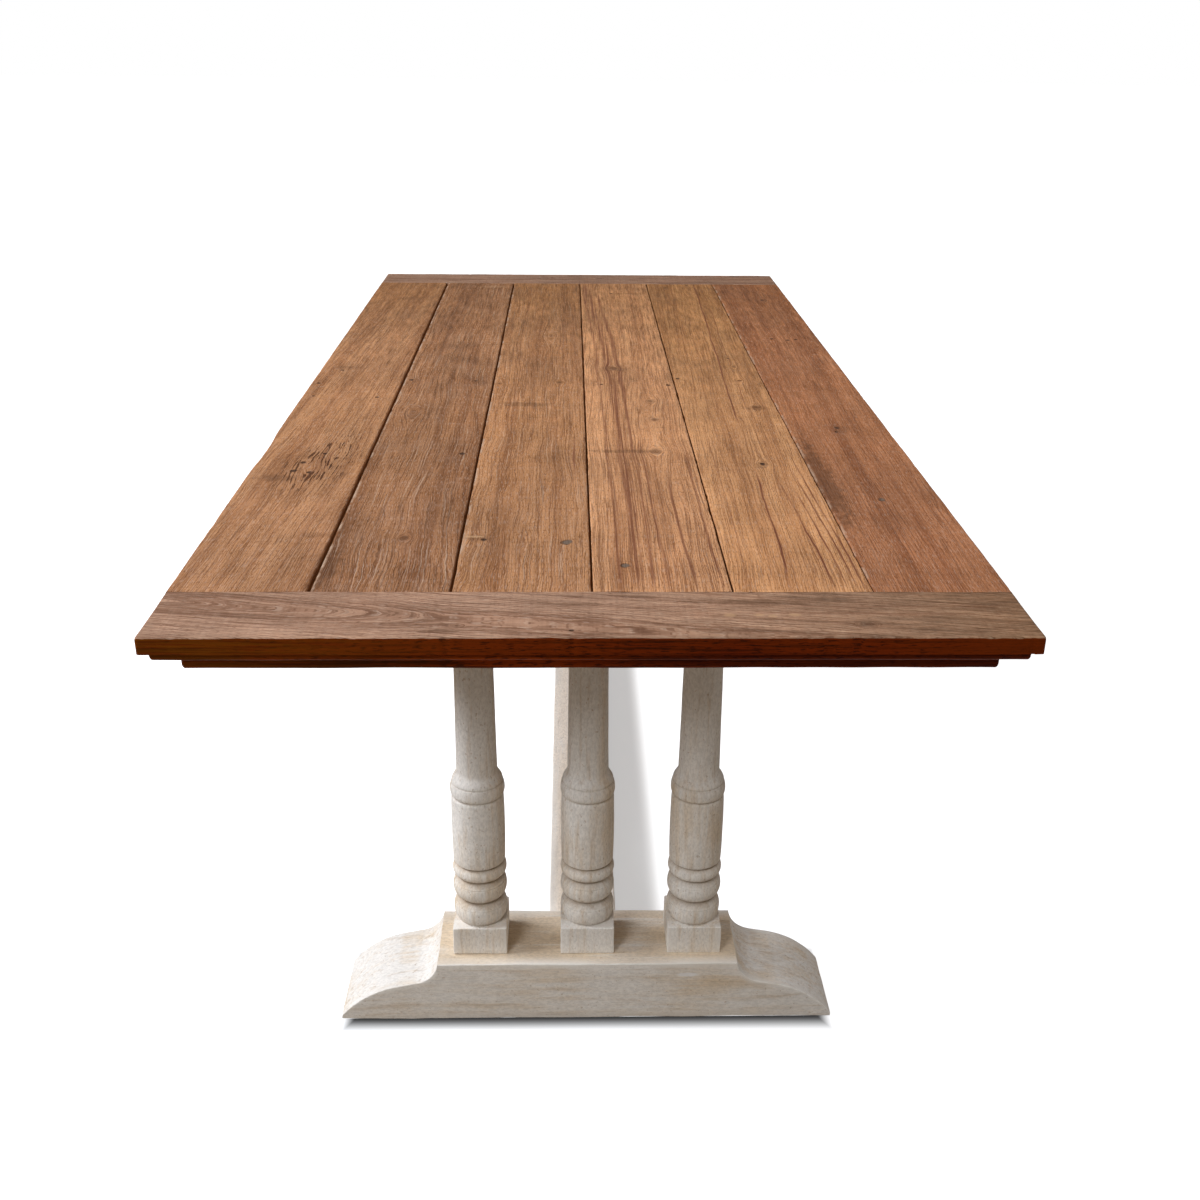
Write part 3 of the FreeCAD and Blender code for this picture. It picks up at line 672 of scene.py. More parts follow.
stain_light = (0.285, 0.040, 0.0018)
stain_dark = (0.025, 0.003, 0.0004)
stained_x = stained_finish("stained_cross_grain", ALONG_X, stain_light, stain_dark)
stained_y = stained_finish("stained_long_grain", ALONG_Y, stain_light, stain_dark)
# The right side of the end rails and strips is darkened: painted shade.
faded(stained_x, low=0.0, high=0.14, right_strength=0.60, right_stain_and_shade=(0.030, 0.002, 0.0006, 1.0))
sawn_x = stained_finish("sawn_bearer", ALONG_X, (0.25, 0.125, 0.060), (0.14, 0.060, 0.026))
for side_name, side, axis in (("near", -1, "x"), ("far", 1, "x"), ("left", -1, "y"), ("right", 1, "y")):
    radii = (worn_low, hidden_arris, hidden_arris, worn_high)
    if side > 0:
        radii = (hidden_arris, worn_low, worn_high, hidden_arris)
    for step, node, reach_x, reach_y, upright, depth, seed in (
            ("strip", "edge_strip", strip_x, strip_y, (strips_under, boards_under), 0.0005, 30),
            ("rail", "frame_rail", rail_x, rail_y, (rails_under, strips_under), 0.0006, 34)):
        if axis == "x":
            across = sorted((side * rail_inner_y, side * reach_y))
            bar = beam(f"step_{step}_{side_name}", axis, (-reach_x, reach_x), across, upright, radii, [stained_x],
                       (depth, 0.06), seed + side, end_round=0.004, pitch=0.015)
        else:
            across = sorted((side * rail_inner_x, side * reach_x))
            bar = beam(f"step_{step}_{side_name}", axis, (-rail_inner_y, rail_inner_y), across, upright, radii,
                       [stained_y], (depth, 0.06), seed + 10 + side)
        stand_for(bar, "frame_wood", f"{node}_{side_name}")
for i, y in enumerate(bearer_y):
    bearer = beam(f"sawn_bearer_{i + 1}", "x", (-rail_inner_x, rail_inner_x), (y - bearer_half, y + bearer_half),
                  (rails_under, boards_under), bearer_arris, [sawn_x], (0.0006, 0.06), 50 + i)
    stand_for(bearer, "frame_wood", f"cross_bearer_{i + 1}")


# Top planks: six old teak boards, tongued and grooved along their long edges, with open worn seams.
# Their faces keep knots, checks, nail marks and saw marks; the outer edges are stained dark.
table_top = 0.770
plank_end = 0.9748
seam_edges = [-0.5, *((k + 0.001) * board_pitch for k in range(-2, 3)), 0.5]


def slant(tree, a, b):
    """The distance spanned by two sides at a right angle."""
    squares = maths(tree, "ADD", maths(tree, "MULTIPLY", a, a), maths(tree, "MULTIPLY", b, b))
    return maths(tree, "SQRT", squares)


# The grain bends round a knot, and the knot itself shows rings and a dark heart.
knot, given, result = new_group(
    "plank_knot",
    {"Flow": "Vector", "Centre": "Vector", "Size": "Float", "Stretch": "Float", "Eye": "Float"},
    {"Flow": "Vector", "Core": "Float", "Halo": "Float"},
)
gap = apart(knot, vectors(knot, "SUBTRACT", given["Flow"], given["Centre"]))
along = maths(knot, "DIVIDE", gap[1], given["Stretch"])
reach = maths(knot, "DIVIDE", slant(knot, gap[0], along), given["Size"])
push = maths(knot, "MULTIPLY_ADD", given["Eye"], 0.78, 0.22)
sweep = maths(knot, "DIVIDE", push, maths(knot, "ADD", maths(knot, "MULTIPLY", reach, reach), 0.25))
swept = maths(knot, "MULTIPLY", gap[0], maths(knot, "SUBTRACT", 1.0, sweep))
eye = maths(knot, "MULTIPLY", maths(knot, "MULTIPLY", reach, given["Size"]), 0.9)
inside = maths(knot, "MULTIPLY", ramp(knot, reach, 0.95, 0.55), given["Eye"])
bent = put(knot, "ShaderNodeMix", {0: inside, 2: swept, 3: eye}, data_type="FLOAT").outputs[0]
start = apart(knot, given["Centre"])
flow = apart(knot, given["Flow"])
flow = put(knot, "ShaderNodeCombineXYZ", {0: maths(knot, "ADD", start[0], bent), 1: flow[1], 2: flow[2]}).outputs[0]
knot.links.new(flow, result.inputs["Flow"])
knot.links.new(ramp(knot, reach, 1.0, 0.25), result.inputs["Core"])
knot.links.new(ramp(knot, reach, 2.6, 0.9), result.inputs["Halo"])

# Distance from the heart of the log, which leans along the plank: it gives straight grain or cathedrals.
log_rings, given, result = new_group(
    "plank_rings",
    {"Flow": "Vector", "Heart X": "Float", "Heart Z": "Float", "Lean": "Float", "Dip": "Float", "Level": "Float",
     "Wander": "Float", "Ripple": "Float", "Seed": "Float"},
    {"Strand": "Vector"},
)
flow = apart(log_rings, given["Flow"])
run = maths(log_rings, "ADD", maths(log_rings, "MULTIPLY", flow[1], 1.4), given["Seed"])
drift = put(log_rings, "ShaderNodeTexNoise", {"W": run, "Scale": 1.0, "Detail": 2.0}, noise_dimensions="1D").outputs[0]
drift = maths(log_rings, "MULTIPLY", maths(log_rings, "SUBTRACT", drift, 0.5), given["Wander"])
heart_x = maths(log_rings, "ADD", given["Heart X"], maths(log_rings, "MULTIPLY", flow[1], given["Lean"]))
heart_x = maths(log_rings, "ADD", heart_x, drift)
run = maths(log_rings, "MINIMUM", flow[1], given["Level"])
heart_z = maths(log_rings, "ADD", given["Heart Z"], maths(log_rings, "MULTIPLY", run, given["Dip"]))
heart_z = maths(log_rings, "SUBTRACT", heart_z, drift)
side = maths(log_rings, "SUBTRACT", flow[0], heart_x)
deep = maths(log_rings, "SUBTRACT", maths(log_rings, "SUBTRACT", flow[2], table_top), heart_z)
ring = slant(log_rings, side, deep)
ripple = maths(log_rings, "SUBTRACT", cloud(log_rings, given["Flow"], (20.0, 5.0, 20.0), 4.0, 0.58), 0.5)
ring = maths(log_rings, "ADD", ring, maths(log_rings, "MULTIPLY", ripple, given["Ripple"]))
strand = put(log_rings, "ShaderNodeCombineXYZ", {0: ring, 1: flow[1], 2: given["Seed"]}).outputs[0]
log_rings.links.new(strand, result.inputs["Strand"])

# Colour, gloss and relief of old oiled teak from the strand under the eye.
dry_hair = (0.66, 0.48, 0.34, 1.0)
# The fleck colour is partly a painted highlight on raised grain.
fleck_and_glint = (0.72, 0.55, 0.43, 1.0)
weathered_grey = (0.29, 0.185, 0.125, 1.0)
teak, given, result = new_group(
    "teak_face",
    {"Strand": "Vector", "Place": "Vector", "Pale": "Color", "Body": "Color", "Dark": "Color", "Banding": "Float",
     "Figure": "Float", "Hairs": "Float", "Grey": "Float", "Seed": "Float"},
    {"Colour": "Color", "Rough": "Float", "Height": "Float"},
)
strand = given["Strand"]
wide = cloud(teak, strand, (44.0, 0.7, 1.0), 2.0, 0.5)
lines = cloud(teak, strand, (400.0, 2.0, 1.0), 3.0, 0.62, (0.0, 0.0, 4.0))
fine = cloud(teak, strand, (950.0, 9.0, 1.0), 2.0, 0.6, (0.0, 0.0, 9.0))
growth = cloud(teak, strand, (230.0, 2.2, 1.0), 2.0, 0.5, (0.0, 0.0, 21.0))
drawn = ramp(teak, maths(teak, "ABSOLUTE", maths(teak, "SUBTRACT", growth, 0.5)), 0.026, 0.006)
dashes = cloud(teak, strand, (900.0, 120.0, 1.0), 1.0, 0.5, (0.0, 0.0, 2.0))
hairs = cloud(teak, strand, (520.0, 4.0, 1.0), 2.0, 0.5, (0.0, 0.0, 13.0))
flecks_and_glints = cloud(teak, strand, (1000.0, 60.0, 1.0), 2.0, 0.6, (0.0, 0.0, 17.0))
seeded = vectors(teak, "ADD", given["Place"], put(teak, "ShaderNodeCombineXYZ", {2: given["Seed"]}).outputs[0])
patch = cloud(teak, seeded, (10.0, 4.2, 1.0), 4.0, 0.6)
smoke = cloud(teak, seeded, (34.0, 16.0, 1.0), 4.0, 0.6, (4.0, 2.0, 0.0))
saw = cloud(teak, seeded, (6.0, 300.0, 1.0), 2.0, 0.6, (1.0, 3.0, 0.0))
mottle = cloud(teak, seeded, (160.0, 20.0, 1.0), 3.0, 0.6, (2.0, 9.0, 0.0))
weather = ramp(teak, apart(teak, given["Place"])[1], -0.7, 0.5, 0.25, 1.35)
body = tint(teak, ramp(teak, wide, 0.36, 0.64), given["Body"], given["Pale"])
body = layer(teak, body, ramp(teak, wide, 0.47, 0.36), given["Banding"], given["Dark"])
body = layer(teak, body, ramp(teak, lines, 0.47, 0.37), 0.45, given["Pale"])
line_share = maths(teak, "MULTIPLY", given["Figure"], 0.62)
body = layer(teak, body, ramp(teak, lines, 0.54, 0.64), line_share, given["Dark"])
body = layer(teak, body, drawn, given["Figure"], given["Dark"])
body = layer(teak, body, ramp(teak, fine, 0.52, 0.60), 0.42, given["Dark"])
body = layer(teak, body, ramp(teak, dashes, 0.56, 0.66), 0.62, given["Dark"])
body = layer(teak, body, ramp(teak, hairs, 0.60, 0.70), given["Hairs"], dry_hair)
# Pale flecks in the grain: partly pale fibres, partly painted highlights on raised grain.
body = layer(teak, body, ramp(teak, flecks_and_glints, 0.52, 0.66), 0.25, fleck_and_glint)
shade = ramp(teak, patch, 0.32, 0.68, 0.88, 1.11)
shade = maths(teak, "MULTIPLY", shade, ramp(teak, smoke, 0.34, 0.66, 0.93, 1.06))
shade = maths(teak, "MULTIPLY", shade, ramp(teak, saw, 0.35, 0.65, 0.965, 1.035))
mottled = maths(teak, "MULTIPLY_ADD", maths(teak, "SUBTRACT", mottle, 0.5), weather, 1.0)
shaded = scaled(teak, body, maths(teak, "MULTIPLY", shade, mottled))
shaded = layer(teak, shaded, ramp(teak, smoke, 0.46, 0.66), given["Grey"], weathered_grey)
teak.links.new(shaded, result.inputs["Colour"])
teak.links.new(ramp(teak, maths(teak, "ADD", patch, fine), 0.7, 1.3, 0.60, 0.74), result.inputs["Rough"])
relief = maths(teak, "SUBTRACT", maths(teak, "MULTIPLY", lines, 0.4), maths(teak, "MULTIPLY", drawn, 0.5))
relief = maths(teak, "SUBTRACT", relief, maths(teak, "MULTIPLY", fine, 0.6))
teak.links.new(maths(teak, "ADD", relief, maths(teak, "MULTIPLY", saw, 0.25)), result.inputs["Height"])

# A dark mineral vein that runs with the grain between two places along the plank.
vein, given, result = new_group(
    "plank_vein",
    {"Flow": "Vector", "Weave": "Float", "Broken": "Float", "Start": "Float", "Lean": "Float", "Bow": "Float",
     "Width": "Float", "From": "Float", "To": "Float"},
    {"Mask": "Float"},
)
flow = apart(vein, given["Flow"])
course = maths(vein, "MULTIPLY_ADD", flow[1], given["Lean"], given["Start"])
course = maths(vein, "MULTIPLY_ADD", maths(vein, "MULTIPLY", flow[1], flow[1]), given["Bow"], course)
off = maths(vein, "ABSOLUTE", maths(vein, "SUBTRACT", maths(vein, "SUBTRACT", flow[0], course), given["Weave"]))
near_it = ramp(vein, maths(vein, "DIVIDE", off, given["Width"]), 1.0, 0.2)
fade = 0.10
ends = maths(vein, "MULTIPLY", ramp(vein, maths(vein, "SUBTRACT", flow[1], given["From"]), 0.0, fade),
             ramp(vein, maths(vein, "SUBTRACT", given["To"], flow[1]), 0.0, fade))
mask = maths(vein, "MULTIPLY", maths(vein, "MULTIPLY", near_it, ends), given["Broken"])
vein.links.new(mask, result.inputs["Mask"])

# A smoky stain or a nail mark: a ragged spot of its own size.
spot, given, result = new_group(
    "plank_spot",
    {"Place": "Vector", "Centre": "Vector", "Size": "Vector", "Rag": "Float", "Ragged": "Float"},
    {"Mask": "Float"},
)
gap = vectors(spot, "DIVIDE", vectors(spot, "SUBTRACT", given["Place"], given["Centre"]), given["Size"])
reach = length(spot, vectors(spot, "MULTIPLY", gap, (1.0, 1.0, 0.0)))
reach = maths(spot, "MULTIPLY_ADD", given["Rag"], given["Ragged"], reach)
spot.links.new(ramp(spot, reach, 1.0, 0.35), result.inputs["Mask"])

# Tints that paint shade on a plank, toward its far end and toward its near end.
far_shade_tint = (0.62, 0.58, 0.46, 1.0)
near_shade_tint = (0.91, 0.925, 0.97, 1.0)
vein_brown = (0.170, 0.060, 0.033, 1.0)
smoke_stain = (0.10, 0.046, 0.024, 1.0)
pale_scuff = (0.58, 0.36, 0.20, 1.0)
check_black = (0.075, 0.030, 0.015, 1.0)
knot_heart = (0.060, 0.027, 0.015, 1.0)
nail_black = (0.055, 0.030, 0.020, 1.0)
nail_rust = (0.20, 0.150, 0.115, 1.0)
worn_arris_and_highlight = (0.50, 0.355, 0.255, 1.0)
seam_grime = (0.250, 0.098, 0.030, 1.0)
aged = (0.97, 0.93, 0.85)
striped_width = 0.0035
burl_size = 0.02
rusty_nail = 0.0065


def teak_tones(mean, pale, dark):
    """Body, pale and dark tones of one plank: the pale ones yellower, the dark ones redder."""
    body = [part * age for part, age in zip(mean, aged)]
    tones = []
    for share, lean in ((1.0, (1.0, 1.0, 1.0)), (pale, (1.0, 1.06, 1.10)), (dark, (1.0, 0.85, 0.78))):
        tones.append(tuple(part * share * tip for part, tip in zip(body, lean)) + (1.0,))
    return tones


def plank_finish(name, turn, look):
    """The face of one plank: its own log, knots, veins, stains and nail marks in the shared teak."""
    material, tree, shader = finish(name, 0.015)
    place = grain_place(tree, turn)
    flow = place
    knots = []
    for x, y, size, stretch, dark in look["knots"]:
        out = use(tree, knot, Flow=flow, Centre=(x, y, 0.0), Size=size, Stretch=stretch, Eye=1.0 if dark > 0 else 0.0)
        flow = out["Flow"]
        stroke = 0.85 if size > burl_size else 0.30 if dark > 0 else 0.10
        knots.append((maths(tree, "MULTIPLY", out["Core"], dark), out["Halo"], stroke))
    heart_x, heart_z, lean, dip, wander = look["heart"]
    strand = use(tree, log_rings, Flow=flow, Heart_X=heart_x, Heart_Z=heart_z, Lean=lean, Dip=dip, Wander=wander,
                 Level=look.get("level", 2.0), Ripple=look["ripple"], Seed=look["seed"])["Strand"]
    body, pale, dark = teak_tones(*look["tone"])
    face = use(tree, teak, Strand=strand, Place=place, Body=body, Pale=pale, Dark=dark, Banding=look["banding"],
               Figure=look["figure"], Hairs=look["hairs"], Grey=look["grey"], Seed=look["seed"])
    height = face["Height"]

    along = apart(tree, place)[1]
    # Painted shade: darker toward the far end along the grain, from the place in turn on, and toward the near end.
    away = ramp(tree, along, look.get("turn", 0.15), 0.95, 0.0, look["far_shade"])
    colour = tint(tree, away, face["Colour"], far_shade_tint, "MULTIPLY")
    colour = tint(tree, ramp(tree, along, -0.30, -0.85, 0.0, look["near_shade"]), colour, near_shade_tint, "MULTIPLY")

    weave = maths(tree, "SUBTRACT", cloud(tree, flow, (12.0, 4.0, 1.0), 3.0, 0.6), 0.5)
    weave = maths(tree, "MULTIPLY", weave, 0.014)
    broken = ramp(tree, cloud(tree, flow, (60.0, 5.0, 1.0), 2.0, 0.6, (7.0, 1.0, 0.0)), 0.30, 0.55, 0.35, 1.0)
    stripes = ramp(tree, cloud(tree, flow, (420.0, 2.5, 1.0), 2.0, 0.6, (5.0, 0.0, 0.0)), 0.42, 0.56, 0.18, 1.0)
    for start, lean, bow, width, low, high, depth in look["veins"]:
        mask = use(tree, vein, Flow=flow, Weave=weave, Broken=stripes if width > striped_width else broken,
                   Start=start, Lean=lean, Bow=bow, Width=width, From=low, To=high)["Mask"]
        colour = layer(tree, colour, mask, depth, vein_brown)

    rag = maths(tree, "SUBTRACT", cloud(tree, place, (90.0, 60.0, 1.0), 4.0, 0.65), 0.5)
    for x, y, size_x, size_y, depth in look["stains"]:
        mask = use(tree, spot, Place=place, Centre=(x, y, 0.0), Size=(size_x, size_y, 1.0), Rag=rag, Ragged=1.6)["Mask"]
        colour = layer(tree, colour, mask, abs(depth), smoke_stain if depth > 0 else pale_scuff)

    splits = ramp(tree, cloud(tree, strand, (380.0, 19.0, 1.0), 2.0, 0.5, (0.0, 0.0, 6.0)), 0.57, 0.62)
    for core, halo, stroke in knots:
        checks = maths(tree, "MULTIPLY", maths(tree, "MULTIPLY", splits, halo), stroke)
        colour = tint(tree, checks, colour, check_black)
        colour = tint(tree, core, colour, knot_heart)
        height = maths(tree, "MULTIPLY_ADD", checks, -1.5, height)

    for x, y, size in look["nails"]:
        mask = use(tree, spot, Place=place, Centre=(x, y, 0.0), Size=(size, size * 1.25, 1.0), Rag=rag,
                   Ragged=1.1)["Mask"]
        colour = layer(tree, colour, mask, 0.90, nail_black)
        height = maths(tree, "MULTIPLY_ADD", mask, -3.0, height)
        if size > rusty_nail:
            colour = tint(tree, ramp(tree, mask, 0.35, 1.0, 0.0, 0.75), colour, nail_rust)

    arris = put(tree, "ShaderNodeAttribute", attribute_name="arris").outputs["Fac"]
    rubbed = ramp(tree, cloud(tree, place, (40.0, 26.0, 1.0), 3.0, 0.65, (3.0, 6.0, 0.0)), 0.44, 0.62)
    # Paler patches along the arrises: partly wear, partly painted highlight.
    colour = layer(tree, colour, ramp(tree, arris, 0.35, 1.0), rubbed, worn_arris_and_highlight)
    depth = maths(tree, "SUBTRACT", table_top, apart(tree, place)[2])
    grime = maths(tree, "MULTIPLY", ramp(tree, depth, 0.0022, 0.0060), ramp(tree, depth, 0.0218, 0.0190))
    colour = layer(tree, colour, grime, 0.92, seam_grime)
    wire_up(tree, shader, colour, face["Rough"], height, 0.0007)
    return material


def slow(t, seed, amount, waves=7, longest=0.9):
    """A smooth wander along a plank, never below zero."""
    draw = np.random.default_rng(seed)
    total = np.zeros_like(t)
    for k in range(waves):
        total += np.sin(2 * math.pi * t * (k + 0.7) / longest + draw.uniform(0, 2 * math.pi)) / (1 + 0.6 * k)
    return amount * (0.5 + 0.18 * total).clip(0.0, 1.4)


def chips(t, seed, count, depth, longest):
    """Small bites out of an arris at seeded places."""
    draw = np.random.default_rng(seed)
    bitten = np.zeros_like(t)
    for _ in range(count):
        centre = draw.uniform(t[0], t[-1])
        bite = depth * draw.uniform(0.2, 1.0) ** 2
        half = longest * draw.uniform(0.3, 1.0)
        bitten = np.maximum(bitten, bite * np.exp(-np.abs((t - centre) / half) ** 3))
    return bitten


tongue_reach, tongue_low, tongue_high = 0.0085, 0.0077, 0.0143
groove_reach, groove_low, groove_high = 0.0088, 0.0073, 0.0147
end_groove_reach, end_groove_low, end_groove_high, end_groove_half = 0.0222, 0.0068, 0.0152, 0.470
face_below = 0.0007
chip_count, chip_length = 34, 0.010
outer_chip, seam_chip = 0.0014, 0.0015
arris_steps, face_columns, under_columns = 4, 30, 5


def plank_rings(t, left, right, left_joint, right_joint, seed, arris, worn, end_round=0.0, drop=0.0):
    """Sections across a plank: a face with a slight roll, eased arrises, and its tongue and groove."""
    roll = np.random.default_rng(seed).uniform(0, 6.28, 6)
    inset = np.zeros_like(t)
    if end_round > 0:
        edge = np.minimum(t - t[0], t[-1] - t).clip(0.0, end_round)
        inset = end_round - np.sqrt(end_round ** 2 - (end_round - edge) ** 2)
    bite = [outer_chip if joint == "plain" else seam_chip for joint in (left_joint, right_joint)]
    left_arris = arris[0] * (0.75 + slow(t, seed + 1, 0.5)) + chips(t, seed + 2, chip_count, bite[0], chip_length)
    right_arris = arris[1] * (0.75 + slow(t, seed + 3, 0.5)) + chips(t, seed + 4, chip_count, bite[1], chip_length)
    left_stain, right_stain_and_shade = int(left_joint == "plain"), int(right_joint == "plain")
    left, right = left + left_stain * inset, right - right_stain_and_shade * inset
    under = boards_under + 0.0 * t

    def face(s):
        span = (s - left) / (right - left)
        sag = 0.00035 * (1 - np.cos(2 * math.pi * span)) / 2
        wave = 0.00022 * (np.sin(7 * t + roll[0]) + np.sin(17 * t + roll[1]) + np.sin(31 * t + 5 * span + roll[2])) / 3
        dent = 0.00018 * np.sin(58 * t + 9 * span + roll[3]) * np.sin(6 * span + 4 * t + roll[4])
        return table_top - face_below - drop - sag + wave + dent - inset

    def rounded(middle, radius, start):
        """Points over an arris, a quarter turn about its middle."""
        points = []
        for k in range(arris_steps + 1):
            turn = start + math.pi / 2 * k / arris_steps
            s = middle + radius * math.cos(turn)
            points.append((s, face(s) - radius + radius * math.sin(turn)))
        return points

    def step(edge, reach, first, last):
        """The four corners of a tongue or a groove."""
        deep = edge + reach
        return [(edge, under + first), (deep, under + first), (deep, under + last), (edge, under + last)]

    track, walls, marks = [], [], []

    def add(points, wall=0, mark=0.0):
        """Carries the section on; wall is the finish of the side that leads to each point."""
        track.extend(points)
        walls.extend([wall] * len(points))
        marks.extend([mark] * len(points))

    end_reach = end_groove_reach * (np.abs(t) < end_groove_half)
    add([(left + (right - left) * k / under_columns, under) for k in range(under_columns + 1)])
    if right_joint == "tongue":
        add(step(right, tongue_reach, tongue_low, tongue_high))
    elif right_joint == "groove":
        add(step(right, -end_reach, end_groove_low, end_groove_high))
    corner = rounded(right - right_arris, right_arris, 0.0)
    add(corner[:2], right_stain_and_shade, worn[1])
    add(corner[2:], 0, worn[1])
    first, last = right - right_arris, left + left_arris
    columns = [first + (last - first) * k / face_columns for k in range(1, face_columns)]
    add([(s, face(s)) for s in columns])
    corner = rounded(left + left_arris, left_arris, math.pi / 2)
    add(corner[:-1], 0, worn[0])
    add(corner[-1:], left_stain, worn[0])
    if left_joint == "groove":
        add(step(left, end_reach if end_round > 0 else groove_reach, groove_high, groove_low))
    sections = np.stack([np.stack(pair, axis=-1) for pair in track], axis=1)
    return sections, walls[1:] + [left_stain], marks
